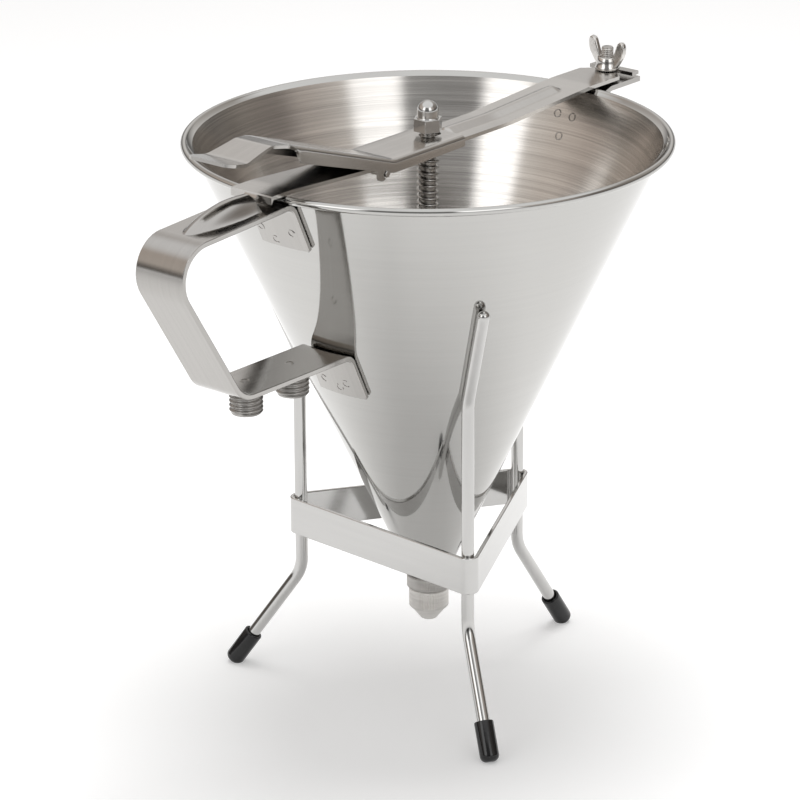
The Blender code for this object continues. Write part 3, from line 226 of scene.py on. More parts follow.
# Reflections round the horizon, from behind the camera and round to it again
STUDIO_BANDS = (
    (0.0, (0.24, 0.24, 0.235)), (0.075, (0.27, 0.265, 0.26)), (0.1, (2.1, 2.1, 2.1)), (0.15, (2.1, 2.1, 2.1)),
    (0.17, (0.80, 0.75, 0.70)), (0.22, (0.70, 0.63, 0.57)), (0.28, (0.64, 0.56, 0.50)),
    (0.34, (0.56, 0.49, 0.43)), (0.40, (0.55, 0.51, 0.48)), (0.5, (0.86, 0.84, 0.82)),
    (0.60, (0.52, 0.49, 0.46)), (0.68, (0.32, 0.29, 0.26)), (0.76, (0.26, 0.23, 0.21)),
    (0.81, (0.52, 0.47, 0.43)), (0.87, (0.66, 0.62, 0.58)), (0.89, (1.8, 1.8, 1.8)), (0.95, (2.0, 2.0, 2.0)),
    (0.97, (0.26, 0.26, 0.255)),
)
FLOOR_HALF = 6.0
FLOOR_GREY = (0.8, 0.8, 0.8, 1.0)
FLOOR_LIFT = 0.31
LAMP_SIZE = 0.75
LAMP_PLACE, LAMP_AIM = (0.06, 0.22, 1.4), (0, 0, 0.05)
SENSOR, FRAME_PIXELS, FOCAL_PIXELS = 36.0, 800, 4021.9
CAMERA_TURNS = (-0.431, 20.234, -0.277)
CAMERA_BACK, CAMERA_HEIGHT = -1.4829, 0.6665


# Settings that a user would change

class BowlSettings(bpy.types.PropertyGroup):
    steps: IntProperty(name="Steps round", description="Faces round the bowl", default=224, min=24)
    wall: FloatProperty(
        name="Wall", description="Thickness of the cone's sheet", default=0.8 * MM, unit="LENGTH"
    )


class OutletSettings(bpy.types.PropertyGroup):
    collar_ridges: IntProperty(
        name="Collar ridges", description="Knurled ridges round the collar", default=84, min=12
    )
    nozzle_ridges: IntProperty(
        name="Nozzle ridges", description="Knurled ridges round the nozzle", default=72, min=12
    )
    ridge_depth: FloatProperty(
        name="Ridge depth", description="Depth of the knurling", default=0.26 * MM, unit="LENGTH"
    )


class HandleSettings(bpy.types.PropertyGroup):
    width: FloatProperty(
        name="Strip width", description="Width of the handle's strip", default=23.0 * MM, unit="LENGTH"
    )
    sheet: FloatProperty(
        name="Strip thickness", description="Thickness of the strip", default=2.0 * MM, unit="LENGTH"
    )
    louver_height: FloatProperty(
        name="Hood height", description="Rise of the pressed hood", default=5.4 * MM, unit="LENGTH"
    )
    thread_pitch: FloatProperty(
        name="Thread pitch", description="Pitch of the two nozzle studs", default=1.75 * MM, unit="LENGTH"
    )


class LeverSettings(bpy.types.PropertyGroup):
    sheet: FloatProperty(
        name="Lever sheet", description="Thickness of the lever's sheet", default=1.2 * MM, unit="LENGTH"
    )
    edge: FloatProperty(
        name="Edge rounding", description="Radius on the cut edges of sheet", default=0.22 * MM, unit="LENGTH"
    )


class ValveSettings(bpy.types.PropertyGroup):
    turns: IntProperty(name="Spring turns", description="Turns of the return spring", default=24, min=4)
    wire: FloatProperty(
        name="Wire radius", description="Radius of the spring's wire", default=0.5 * MM, unit="LENGTH"
    )


class StandSettings(bpy.types.PropertyGroup):
    rod: FloatProperty(
        name="Rod radius", description="Radius of the stand's rods", default=2.5 * MM, unit="LENGTH"
    )
    band_height: FloatProperty(
        name="Band height", description="Height of the stand's band", default=15.0 * MM, unit="LENGTH"
    )
    band_sheet: FloatProperty(
        name="Band thickness", description="Thickness of the band", default=1.5 * MM, unit="LENGTH"
    )


class FinishSettings(bpy.types.PropertyGroup):
    mirror: FloatVectorProperty(
        name="Mirror steel", description="Colour of the bowl's outside",
        subtype="COLOR", default=(0.53, 0.525, 0.51),
    )
    brushed: FloatVectorProperty(
        name="Brushed steel", description="Colour of the bowl's inside",
        subtype="COLOR", default=(0.61, 0.59, 0.565),
    )
    satin: FloatVectorProperty(
        name="Satin steel", description="Colour of the strips and turned parts",
        subtype="COLOR", default=(0.54, 0.525, 0.505),
    )
    polished: FloatVectorProperty(
        name="Polished steel", description="Colour of the rods and the band",
        subtype="COLOR", default=(0.55, 0.545, 0.535),
    )
    rubber: FloatVectorProperty(
        name="Caps", description="Colour of the foot caps", subtype="COLOR", default=(0.005, 0.005, 0.0055)
    )


class StudioSettings(bpy.types.PropertyGroup):
    azimuth: FloatProperty(
        name="View azimuth", description="Side that the photograph was taken from",
        default=math.radians(-50.3), subtype="ANGLE",
    )
    lamp: FloatProperty(
        name="Lamp power", description="Power of the large overhead lamp", default=12.5, min=0.0, unit="POWER"
    )


SETTINGS = {
    "funnel_bowl_look": BowlSettings,
    "funnel_outlet_look": OutletSettings,
    "funnel_handle_look": HandleSettings,
    "funnel_lever_look": LeverSettings,
    "funnel_valve_look": ValveSettings,
    "funnel_stand_look": StandSettings,
    "funnel_finish_look": FinishSettings,
    "funnel_studio_look": StudioSettings,
}


# Lines and profiles

def clamped(value):
    return min(max(value, 0.0), 1.0)


def smoothstep(value):
    t = clamped(value)
    return t * t * (3 - 2 * t)


def levels(low, high, count):
    return [low + (high - low) * i / count for i in range(count + 1)]


def stretches(stops, counts):
    """Places along a line, where each stretch between two stops has its own count."""
    places = list(stops[:1])
    for low, high, count in zip(stops, stops[1:], counts):
        places = places[:-1] + levels(low, high, count)
    return places


def straight(start, end, count):
    return [start.lerp(end, t) for t in levels(0.0, 1.0, count)]


def arc(x, y, radius, first, last, count):
    """Points on a circle from one angle in degrees to another."""
    turns = [math.radians(angle) for angle in levels(first, last, count)]
    return [(x + radius * math.cos(turn), y + radius * math.sin(turn)) for turn in turns]


def beside(r, z, *steps):
    """Profile points beside a corner, with the steps to them in millimetres."""
    return [(r + dr * MM, z + dz * MM) for dr, dz in steps]


def rounded_path(points, radii, arc_points):
    """A polyline in a plane with its corners rounded, and the index range of every arc."""
    path, arcs = [Vector(points[0])], []
    for before, corner, after, radius in zip(points, points[1:], points[2:], radii):
        corner = Vector(corner)
        back = (Vector(before) - corner).normalized()
        ahead = (Vector(after) - corner).normalized()
        half = back.angle(ahead) / 2
        centre = corner + (back + ahead).normalized() * (radius / math.sin(half))
        start = corner + back * (radius / math.tan(half)) - centre
        end = corner + ahead * (radius / math.tan(half)) - centre
        sweep = start.angle(end)
        first = len(path)
        for t in levels(0.0, 1.0, arc_points):
            weights = math.sin((1 - t) * sweep), math.sin(t * sweep)
            path.append(centre + (start * weights[0] + end * weights[1]) / math.sin(sweep))
        arcs.append((first, len(path) - 1))
    path.append(Vector(points[-1]))
    return path, arcs


def slot_outline(start, end, radius):
    """A slot's outline along the funnel's own axis line, round at both ends."""
    points = arc(end, 0.0, radius, -90.0, 90.0, 16) + arc(start, 0.0, radius, 90.0, 270.0, 16)
    return [(AXIS_X + x, y) for x, y in points]


def turned_about(x, angle):
    """Moves what stands at the origin to an upright axis and turns it about that axis."""
    return Matrix.Translation((x, 0, 0)) @ Matrix.Rotation(angle, 4, "Z")


def cone_radius(z):
    return (z - APEX_Z) * TAN


def flange_out(z, y, stand_off):
    """How far out a shell on the bowl's outside lies at a height and a place across."""
    r = cone_radius(z) + stand_off / COS
    return math.sqrt(r * r - y * y)


# Pieces

def mesh_of(bm, name):
    mesh = bpy.data.meshes.new(name)
    bm.to_mesh(mesh)
    bm.free()
    return mesh


def add_piece(bm, name, body, slot, *finishes, **more):
    """Turns a finished bmesh into a piece that rides on a body and may stand for CAD nodes."""
    return add_mesh(mesh_of(bm, name), name, body, slot, *finishes, **more)


def add_mesh(mesh, name, body, slot, *finishes, angle=32.0, nodes=()):
    mesh.name = name
    for finish in finishes:
        mesh.materials.append(FINISHES[finish])
    mesh.shade_smooth()
    mesh.set_sharp_from_angle(angle=math.radians(angle))
    obj = bpy.data.objects.new(name, mesh)
    return place_piece(obj, body, nodes)


def place_piece(obj, body, nodes=()):
    bpy.context.scene.collection.objects.link(obj)
    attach(obj, body)
    if nodes:
        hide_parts(*nodes)
    return obj


def rounded_edges(obj, width, segments=2, angle=55.0):
    bevel = obj.modifiers.new("Rounded edges", "BEVEL")
    bevel.width = width
    bevel.segments = segments
    bevel.limit_method = "ANGLE"
    bevel.angle_limit = math.radians(angle)


def loose_object(bm, name):
    """A bmesh as an object of the scene that has no body or finish yet."""
    obj = bpy.data.objects.new(name, mesh_of(bm, name))
    bpy.context.scene.collection.objects.link(obj)
    return obj


def lathe(profile, steps, centre=(AXIS_X, 0.0), closed=False):
    """Spins a profile of (radius, height) points about an upright axis."""
    x, y = centre
    bm = bmesh.new()
    verts = [bm.verts.new((x + r, y, z)) for r, z in profile]
    edges = [bm.edges.new(pair) for pair in zip(verts, verts[1:])]
    if closed:
        edges.append(bm.edges.new((verts[-1], verts[0])))
    bmesh.ops.spin(
        bm, geom=verts + edges, cent=(x, y, 0.0), axis=(0, 0, 1), angle=math.tau, steps=steps, use_merge=True
    )
    bmesh.ops.remove_doubles(bm, verts=bm.verts, dist=1e-6)
    bmesh.ops.recalc_face_normals(bm, faces=bm.faces)
    return bm


def skirt_points(bm, centre, radius, low, high):
    """The points on a turned skirt or shank, each with its place beside the axis and its radius."""
    skin = 0.05 * MM
    for vert in bm.verts:
        dx, dy = vert.co.x - centre[0], vert.co.y - centre[1]
        r = math.hypot(dx, dy)
        if r > radius - skin and low < vert.co.z < high:
            yield vert, dx, dy, r


def knurl(bm, low, high, radius, depth, ridges):
    """Presses straight grooves into a turned skirt: its points move in by one cosine wave a ridge."""
    for vert, dx, dy, r in skirt_points(bm, (AXIS_X, 0.0), radius, low, high):
        turn = math.atan2(dy, dx) / math.tau * ridges
        inward = 1.0 - depth / r * (0.5 + 0.5 * math.cos(math.tau * turn))
        vert.co.x, vert.co.y = AXIS_X + dx * inward, dy * inward


def thread(bm, centre, radius, low, high, pitch, depth):
    """Moves a turned shank's points in along a helix, fading out at both ends."""
    crest, slope, run_out = 0.12, 0.76, 0.6 * pitch
    for vert, dx, dy, r in skirt_points(bm, centre, radius, low, high):
        phase = (vert.co.z / pitch - math.atan2(dy, dx) / math.tau) % 1.0
        flank = clamped((abs(2 * phase - 1) - crest) / slope)
        fade = min(1.0, (vert.co.z - low) / run_out, (high - vert.co.z) / run_out)
        scale = 1 - depth * flank * fade / r
        vert.co.x, vert.co.y = centre[0] + dx * scale, centre[1] + dy * scale


def grid(columns, rows):
    bm = bmesh.new()
    bmesh.ops.create_grid(bm, x_segments=columns, y_segments=rows, size=1.0)
    return bm


def cell(vert, columns, rows):
    """Column and row of a point of a grid that hasn't been moved yet."""
    return round((vert.co.x + 1) / 2 * columns), round((vert.co.y + 1) / 2 * rows)


def thickened_and_cut(bm, thickness, cutters=()):
    """A sheet with its thickness, and with the holes and edges that closed shapes cut in it."""
    bmesh.ops.recalc_face_normals(bm, faces=bm.faces)
    obj = loose_object(bm, "sheet")
    solidify = obj.modifiers.new("Thickness", "SOLIDIFY")
    solidify.thickness = thickness
    solidify.offset = 0.0
    solidify.use_even_offset = True
    tools = [loose_object(cutter, "cutter") for cutter in cutters]
    for tool in tools:
        boolean = obj.modifiers.new("Cut", "BOOLEAN")
        boolean.operation = "DIFFERENCE"
        boolean.solver = "EXACT"
        boolean.object = tool
    bpy.context.view_layer.update()
    depsgraph = bpy.context.evaluated_depsgraph_get()
    mesh = bpy.data.meshes.new_from_object(obj.evaluated_get(depsgraph))
    for spare in [obj] + tools:
        bpy.data.objects.remove(spare, do_unlink=True)
    mesh.materials.clear()
    return mesh


def block(low, high):
    bm = bmesh.new()
    low, high = Vector(low), Vector(high)
    bmesh.ops.create_cube(bm, size=1.0)
    bmesh.ops.scale(bm, vec=high - low, verts=bm.verts)
    bmesh.ops.translate(bm, vec=(high + low) / 2, verts=bm.verts)
    return bm


def move_made(bm, made, vec):
    """Moves the points among what an extrusion made."""
    verts = [item for item in made["geom"] if isinstance(item, bmesh.types.BMVert)]
    bmesh.ops.translate(bm, vec=vec, verts=verts)


def draw_out(bm, corners, vec):
    """Adds a face and draws it out into a solid."""
    face = bm.faces.new([bm.verts.new(corner) for corner in corners])
    move_made(bm, bmesh.ops.extrude_face_region(bm, geom=[face]), vec)
    bmesh.ops.recalc_face_normals(bm, faces=bm.faces)


def raised(outline, low, high):
    """An outline of (x, y) points raised from one height to another."""
    bm = bmesh.new()
    draw_out(bm, [(x, y, low) for x, y in outline], (0, 0, high - low))
    return bm


def cut_off(bm, point, normal):
    """Cuts away what lies beyond a plane and closes the cut."""
    geometry = bm.verts[:] + bm.edges[:] + bm.faces[:]
    cut = bmesh.ops.bisect_plane(bm, geom=geometry, plane_co=point, plane_no=normal, clear_outer=True)
    rim = [item for item in cut["geom_cut"] if isinstance(item, bmesh.types.BMEdge)]
    if rim:
        bmesh.ops.contextual_create(bm, geom=rim)


def bar_between(start, end, radius, steps=32):
    start, end = Vector(start), Vector(end)
    bm = bmesh.new()
    turn = (end - start).to_track_quat("Z", "Y").to_matrix().to_4x4()
    bmesh.ops.create_cone(
        bm, cap_ends=True, segments=steps, radius1=radius, radius2=radius, depth=(end - start).length,
        matrix=Matrix.Translation((start + end) / 2) @ turn,
    )
    return bm


def wire(name, points, radius, resolution, radii=None):
    """A round rod or wire along a line of points, as a curve that isn't placed yet."""
    curve = bpy.data.curves.new(name, "CURVE")
    curve.dimensions = "3D"
    curve.bevel_depth = radius
    curve.bevel_resolution = resolution
    curve.use_fill_caps = True
    spline = curve.splines.new("POLY")
    spline.points.add(len(points) - 1)
    for i, point in enumerate(points):
        spline.points[i].co = (*point, 1.0)
        spline.points[i].radius = radii[i] if radii else 1.0
    return bpy.data.objects.new(name, curve)


def weld_mark(bm, point, normal, turn, sweep=250.0):
    """A small C-shaped ridge, as a spot weld leaves, bent round a circle on the surface."""
    radius, ridge, flatten = 1.5 * MM, 0.3 * MM, 0.8
    before = set(bm.verts)
    ring = bmesh.ops.create_circle(bm, cap_ends=True, segments=6, radius=ridge)["verts"]
    bmesh.ops.rotate(bm, verts=ring, cent=(0, 0, 0), matrix=Matrix.Rotation(math.radians(90.0), 3, "X"))
    bmesh.ops.translate(bm, verts=ring, vec=(radius, 0, 0))
    edges, faces = {e for v in ring for e in v.link_edges}, {f for v in ring for f in v.link_faces}
    geometry = [*ring, *edges, *faces]
    bmesh.ops.spin(
        bm, geom=geometry, cent=(0, 0, 0), axis=(0, 0, 1), angle=math.radians(sweep), steps=round(sweep / 18)
    )
    made = [v for v in bm.verts if v not in before]
    facing = Vector(normal).to_track_quat("Z", "Y").to_matrix().to_4x4()
    turn_in, press = Matrix.Rotation(math.radians(turn), 4, "Z"), Matrix.Scale(flatten, 4, (0, 0, 1))
    bmesh.ops.transform(bm, matrix=Matrix.Translation(point) @ facing @ turn_in @ press, verts=made)


def cone_mark(bm, side, y, z, skin, facing, turn, **size):
    """A weld mark at a height and a place across on a shell along the cone, facing 1 out or -1 in."""
    out = flange_out(z, y, skin)
    angle = math.atan2(y, side * out)
    normal = Vector((math.cos(angle) * COS, math.sin(angle) * COS, -math.sin(CONE_ANGLE))) * facing
    weld_mark(bm, (AXIS_X + side * out, y, z), normal, turn, **size)


# Shader groups and finishes

def put(tree, kind, inputs=None, **settings):
    """Adds a node, makes its settings, and links a socket or sets a value at each input that is named."""
    node = tree.nodes.new("ShaderNode" + kind)
    for name, value in settings.items():
        setattr(node, name, value)
    for name, value in (inputs or {}).items():
        if isinstance(value, bpy.types.NodeSocket):
            tree.links.new(value, node.inputs[name])
        else:
            node.inputs[name].default_value = value
    return node


def calculate(tree, operation, *values):
    return put(tree, "Math", dict(enumerate(values)), operation=operation).outputs[0]


def noise(tree, vector, scale, detail, roughness, distortion=0.0):
    inputs = dict(Vector=vector, Scale=scale, Detail=detail, Roughness=roughness, Distortion=distortion)
    return put(tree, "TexNoise", inputs).outputs["Fac"]


def remap(tree, source, low, high, to_low=0.0, to_high=1.0):
    inputs = {"Value": source, "From Min": low, "From Max": high, "To Min": to_low, "To Max": to_high}
    return put(tree, "MapRange", inputs).outputs["Result"]


def mixed(tree, factor, first, second):
    inputs = {"Factor": factor, "A": first, "B": second}
    return put(tree, "Mix", inputs, data_type="RGBA").outputs["Result"]


def new_group(name, label, kind, value, outputs):
    """A group with one input, and with the sockets that its outputs are linked to."""
    tree = bpy.data.node_groups.new(name, "ShaderNodeTree")
    tree.interface.new_socket(label, in_out="INPUT", socket_type=kind).default_value = value
    for output in outputs:
        tree.interface.new_socket(output, in_out="OUTPUT", socket_type="NodeSocketFloat")
    given, out = tree.nodes.new("NodeGroupInput"), tree.nodes.new("NodeGroupOutput")
    return tree, given.outputs[label], out.inputs


def brushing_group(name):
    """Fine parallel lines: noise drawn out along two axes, with a coarser set under a finer one."""
    tree, given, out = new_group(name, "Stretch", "NodeSocketVector", (12.0, 1400.0, 12.0), ("Lines", "Fine"))
    place = put(tree, "TexCoord").outputs["Object"]
    drawn_out = put(tree, "VectorMath", {0: place, 1: given}, operation="MULTIPLY").outputs["Vector"]
    coarse, fine = noise(tree, drawn_out, 0.45, 3.0, 0.6), noise(tree, drawn_out, 1.6, 4.0, 0.7)
    both = calculate(tree, "MULTIPLY_ADD", coarse, 0.6, calculate(tree, "MULTIPLY", fine, 0.4))
    tree.links.new(remap(tree, both, 0.36, 0.64), out["Lines"])
    tree.links.new(fine, out["Fine"])
    return tree


def handling_group(name):
    """Soft patches and small specks, as handling and wiping leave on metal and rubber, and slow waves."""
    tree, given, out = new_group(name, "Size", "NodeSocketFloat", 30.0, ("Patches", "Specks", "Waves"))
    place = put(tree, "TexCoord").outputs["Object"]
    scaled = put(tree, "VectorMath", {0: place, "Scale": given}, operation="SCALE").outputs["Vector"]
    patches, specks = noise(tree, scaled, 1.0, 4.0, 0.55, 0.6), noise(tree, scaled, 14.0, 3.0, 0.65)
    tree.links.new(remap(tree, patches, 0.34, 0.66), out["Patches"])
    tree.links.new(remap(tree, specks, 0.6, 0.74), out["Specks"])
    tree.links.new(noise(tree, scaled, 0.55, 1.0, 0.4), out["Waves"])
    return tree


def place_group(tree, name, build, inputs):
    """Places a node group, which is built the first time that a material asks for it."""
    group = bpy.data.node_groups.get(name) or build(name)
    return put(tree, "Group", inputs, node_tree=group).outputs


def finish_base(name, constants):
    """A material whose constants are set on the shader's own sockets."""
    material = bpy.data.materials.new(name)
    material.use_nodes = True
    shader = material.node_tree.nodes["Principled BSDF"]
    for label, value in constants.items():
        shader.inputs[label].default_value = value
    return material, material.node_tree, shader.inputs


def two_tones(tree, shader, factor, first, second):
    tree.links.new(mixed(tree, factor, (*first, 1.0), (*second, 1.0)), shader["Base Color"])


def surface_relief(tree, shader, *heights):
    """Chains bumps: each entry is (height socket, strength, distance)."""
    inputs = {}
    for height, strength, distance in heights:
        inputs.update({"Height": height, "Strength": strength, "Distance": distance})
        inputs["Normal"] = put(tree, "Bump", inputs).outputs["Normal"]
    tree.links.new(inputs["Normal"], shader["Normal"])


def shaded(colour, share):
    return tuple(c * share for c in colour)


def steel(name, colour, rough, spread, stretch, line_depth, wave_depth, tone, size, anisotropy=0.0):
    """Stainless sheet: two close tones, drawn-out lines, soft handling patches and slight waves."""
    constants = {"Metallic": 1.0, "Anisotropic": anisotropy, "Anisotropic Rotation": 0.25}
    material, tree, shader = finish_base(name, constants)
    lines = place_group(tree, "Brushed lines", brushing_group, {"Stretch": stretch})
    marks = place_group(tree, "Handling marks", handling_group, {"Size": size})
    two_tones(tree, shader, lines["Lines"], shaded(colour, tone), shaded(colour, 2 - tone))
    base = remap(tree, lines["Fine"], 0.3, 0.7, rough * 0.85, rough * 1.15)
    tree.links.new(calculate(tree, "MULTIPLY_ADD", marks["Patches"], spread, base), shader["Roughness"])
    surface_relief(
        tree, shader, (marks["Waves"], 0.35, wave_depth * MM), (lines["Lines"], 0.5, line_depth * MM)
    )
    return material


def rubber(colour):
    """Black caps: glossy, with faint wiped patches and dull specks."""
    material, tree, shader = finish_base("Glossy black caps", {"Metallic": 0.0})
    marks = place_group(tree, "Handling marks", handling_group, {"Size": 140.0})
    two_tones(tree, shader, marks["Patches"], colour, tuple(c * 1.6 + 0.002 for c in colour))
    tree.links.new(remap(tree, marks["Specks"], 0.0, 1.0, 0.09, 0.3), shader["Roughness"])
    surface_relief(tree, shader, (marks["Patches"], 0.3, 0.08 * MM))
    return material


# Operators

class FUNNEL_OT_finishes(bpy.types.Operator):
    """Make the steel and rubber finishes and give them to the CAD nodes that stay"""
    bl_idname = "funnel.finishes"
    bl_label = "Finishes"

    def execute(self, context):
        colours = context.scene.funnel_finish_look
        for finish, (name, colour, share, *look) in STEELS.items():
            FINISHES[finish] = steel(name, shaded(getattr(colours, colour), share), *look)
        FINISHES["rubber"] = rubber(tuple(colours.rubber))
        for node, finish in KEPT_NODES.items():
            for material_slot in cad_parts[node].material_slots:
                material_slot.material = FINISHES[finish]
        return {"FINISHED"}


class FUNNEL_OT_bowl(bpy.types.Operator):
    """Spin the bowl with its rolled rim: a mirror outside and a brushed inside"""
    bl_idname = "funnel.bowl"
    bl_label = "Bowl"

    def execute(self, context):
        look = context.scene.funnel_bowl_look
        bead_r, bead_z = RIM_RADIUS - BEAD, RIM_Z - BEAD
        wall = look.wall / COS
        bead = arc(bead_r, bead_z, BEAD, 150.0, -150.0, 20)
        outer = [(cone_radius(z), z) for z in levels(bead_z - BEAD, FOOT_Z, 10)]
        inner = [(cone_radius(z) - wall, z) for z in levels(FOOT_Z, bead_z, 10)]
        bm = lathe(bead + outer + inner, look.steps, closed=True)
        for face in bm.faces:
            middle = face.calc_center_median()
            inside = math.hypot(middle.x - AXIS_X, middle.y) < cone_radius(middle.z) - wall / 2
            face.material_index = int(inside)
        add_piece(bm, "bowl_shell", "funnel", "mirror_steel", "mirror", "brushed", nodes=("funnel_bowl",))
        return {"FINISHED"}


class FUNNEL_OT_outlet(bpy.types.Operator):
    """Turn and knurl the collar under the bowl and the screwed nozzle"""
    bl_idname = "funnel.outlet"
    bl_label = "Collar and nozzle"

    def execute(self, context):
        look = context.scene.funnel_outlet_look
        chamfer = 0.4 * MM
        low, high = span("spout_collar", 2)
        radius = 8.75 * MM
        profile = [(SPOUT_BORE, high), (radius - chamfer, high), (radius, high - chamfer)]
        profile += [(radius, z) for z in levels(high - chamfer, low + chamfer, 6)[1:-1]]
        profile += [(radius, low + chamfer), (radius - chamfer, low), (SPOUT_BORE, low)]
        collar = lathe(profile, look.collar_ridges * 4, closed=True)
        inset = chamfer * 0.9
        knurl(collar, low + inset, high - inset, radius, look.ridge_depth, look.collar_ridges)
        add_piece(
            collar, "knurled_collar", "funnel", "satin_steel", "collar", angle=60.0, nodes=("spout_collar",)
        )
        low, high = span("nozzle", 2)
        radius, shoulder = 7.9 * MM, high - 8.2 * MM
        tip, outlet = 2.9 * MM, 1.9 * MM
        profile = [(radius - 1.2 * MM, high), (radius - chamfer, high), (radius, high - chamfer)]
        profile += [(radius, z) for z in levels(high - chamfer, shoulder + 0.5 * MM, 8)[1:]]
        profile += beside(radius, shoulder, (-0.5, -0.1), (-1.3, -0.8))
        profile += beside(tip, low, (0.5, 0.35), (-0.1, 0.0))
        profile += [(outlet, low), (outlet, shoulder - 2.0 * MM)]
        profile += beside(SPOUT_BORE, shoulder, (-1.5, 0.0), (0.0, 0.6)) + [(SPOUT_BORE, high)]
        nozzle = lathe(profile, look.nozzle_ridges * 4, closed=True)
        knurl(nozzle, shoulder + 0.4 * MM, high - inset, radius, look.ridge_depth, look.nozzle_ridges)
        add_piece(nozzle, "knurled_nozzle", "nozzle", "satin_steel", "knurled", angle=60.0, nodes=("nozzle",))
        return {"FINISHED"}


def handle_top_z(out):
    return HANDLE_TOP_Z + HANDLE_SLOPE * (out - RIM_RADIUS)


def handle_line(y, sheet):
    """The strip's mid-line at a place across, and the column at which the hood's mouth stands."""
    off = SHEET_GAP + sheet / 2
    top_z = handle_top_z(cone_radius(HANDLE_TOP_Z))
    elbow = HANDLE_REACH, handle_top_z(HANDLE_REACH)
    low_corner = HANDLE_REACH - (elbow[1] - HANDLE_BOTTOM_Z) / HANDLE_GRIP_SLOPE, HANDLE_BOTTOM_Z
    corners = [
        (flange_out(HANDLE_FLANGE_TOP, y, off), HANDLE_FLANGE_TOP), (flange_out(top_z, y, off), top_z),
        elbow, low_corner,
        (flange_out(HANDLE_BOTTOM_Z, y, off), HANDLE_BOTTOM_Z),
        (flange_out(HANDLE_FLANGE_FOOT, y, off), HANDLE_FLANGE_FOOT),
    ]
    path, arcs = rounded_path(corners, HANDLE_BENDS, 14)
    bends = [path[first:last + 1] for first, last in arcs]
    line = straight(path[0], bends[0][0], 8)[:-1] + bends[0]
    before_mouth = levels(bends[0][-1].x, HOOD_MOUTH, 6)[1:]
    mouth_column = len(line) + len(before_mouth) - 1
    stops = before_mouth + levels(HOOD_MOUTH, bends[1][0].x, HOOD_COLUMNS)[1:-1]
    line += [Vector((out, handle_top_z(out))) for out in stops] + bends[1]
    for start, end in zip(bends[1:], bends[2:]):
        line += straight(start[-1], end[0], 12)[1:-1] + end
    line += straight(path[-2], path[-1], 8)[1:]
    return line, mouth_column


def hood_rise(out, y, height):
    """The pressed hood over the bar's tongue: high and wide at its mouth, running out to a point.

    It swells by 0.16 over the first 0.4 of its length, and its crest falls from 0.2 of the length on.
    """
    along = max((out - HOOD_MOUTH) / HOOD_LENGTH, 0.0)
    if out < HOOD_MOUTH - 1e-6 or along >= 1:
        return 0.0
    side = min(abs(y) / (HOOD_HALF_WIDTH * math.sqrt(1 - along ** 2.2)), 1.0)
    back = max(along - 0.2, 0.0) / 0.8
    swell = 1.0 + 0.16 * math.sin(math.pi * min(along / 0.4, 1.0) / 2)
    crest = swell * (1 - back ** 2.3) ** 0.85
    return height * crest * (0.5 + 0.5 * math.cos(math.pi * side ** 1.15)) ** 0.8


class FUNNEL_OT_handle(bpy.types.Operator):
    """Bend the handle's strip with its pressed hood, its weld marks and its two threaded studs"""
    bl_idname = "funnel.handle"
    bl_label = "Handle"

    def execute(self, context):
        look = context.scene.funnel_handle_look
        across = levels(-look.width / 2, look.width / 2, HANDLE_ROWS)
        lines = [handle_line(y, look.sheet) for y in across]
        mouth_column, columns = lines[0][1], len(lines[0][0]) - 1
        bm = grid(columns, HANDLE_ROWS)
        slit = []
        for edge in bm.edges:
            cells = [cell(v, columns, HANDLE_ROWS) for v in edge.verts]
            if all(i == mouth_column and abs(across[j]) < HOOD_SLIT_HALF for i, j in cells):
                slit.append(edge)
        bmesh.ops.split_edges(bm, edges=slit)
        places = []
        for vert in bm.verts:
            outside = all(face.calc_center_median().x > vert.co.x for face in vert.link_faces)
            places.append((vert, *cell(vert, columns, HANDLE_ROWS), outside))
        for vert, i, j, outside in places:
            out, z = lines[j][0][i]
            if mouth_column < i < mouth_column + HOOD_COLUMNS or (i == mouth_column and outside):
                z += hood_rise(out, across[j], look.louver_height)
            vert.co = (AXIS_X - out, across[j], z)
        mesh = thickened_and_cut(bm, look.sheet)
        strip = add_mesh(
            mesh, "handle_strip", "funnel", "satin_steel", "strip", angle=40.0, nodes=("handle",)
        )
        rounded_edges(strip, 0.35 * MM)
        self.weld_marks(look.sheet, context.scene.funnel_bowl_look.wall)
        for number in (1, 2):
            self.stud(number, look.thread_pitch)
        return {"FINISHED"}

    def weld_marks(self, sheet, wall):
        bm = bmesh.new()
        for y, z, turn in FLANGE_MARKS:
            cone_mark(bm, -1, y * MM, z * MM, SHEET_GAP + sheet, 1, turn)
        for out, turn in STUD_MARKS:
            weld_mark(bm, (AXIS_X - out * MM, 1.0 * MM, HANDLE_BOTTOM_Z + sheet / 2), (0, 0, 1), turn)
        for side, y, z in INSIDE_MARKS:
            cone_mark(bm, side, y * MM, z * MM, -wall, -1, 40.0 + 90.0 * y, sweep=342.0)
        bmesh.ops.recalc_face_normals(bm, faces=bm.faces)
        add_piece(bm, "weld_marks", "funnel", "satin_steel", "strip", angle=60.0)

    def stud(self, number, pitch):
        node = f"nozzle_stud_{number}"
        low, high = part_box(node)
        centre, radius, chamfer = ((low.x + high.x) / 2, 0.0), (high.y - low.y) / 2, 0.8 * MM
        count = round((high.z - low.z) / pitch * 10)
        profile = [(0.0, high.z)] + [(radius, z) for z in levels(high.z, low.z + chamfer, count)]
        profile += beside(radius, low.z, (-0.8, 0.0), (-2.4, 0.0), (-2.8, 0.5)) + [(0.0, low.z + 0.5 * MM)]
        stud = lathe(profile, 56, centre=centre)
        thread(stud, centre, radius, low.z + 0.1 * MM, high.z + 0.6 * MM, pitch, 0.75 * MM)
        add_piece(
            stud, f"threaded_stud_{number}", "funnel", "satin_steel", "thread", angle=50.0, nodes=(node,)
        )


def bar_mid_z(x):
    return BAR_MID_Z - BAR_SAG * clamped((BAR_RAMP_END - abs(x)) / BAR_RAMP_RUN)


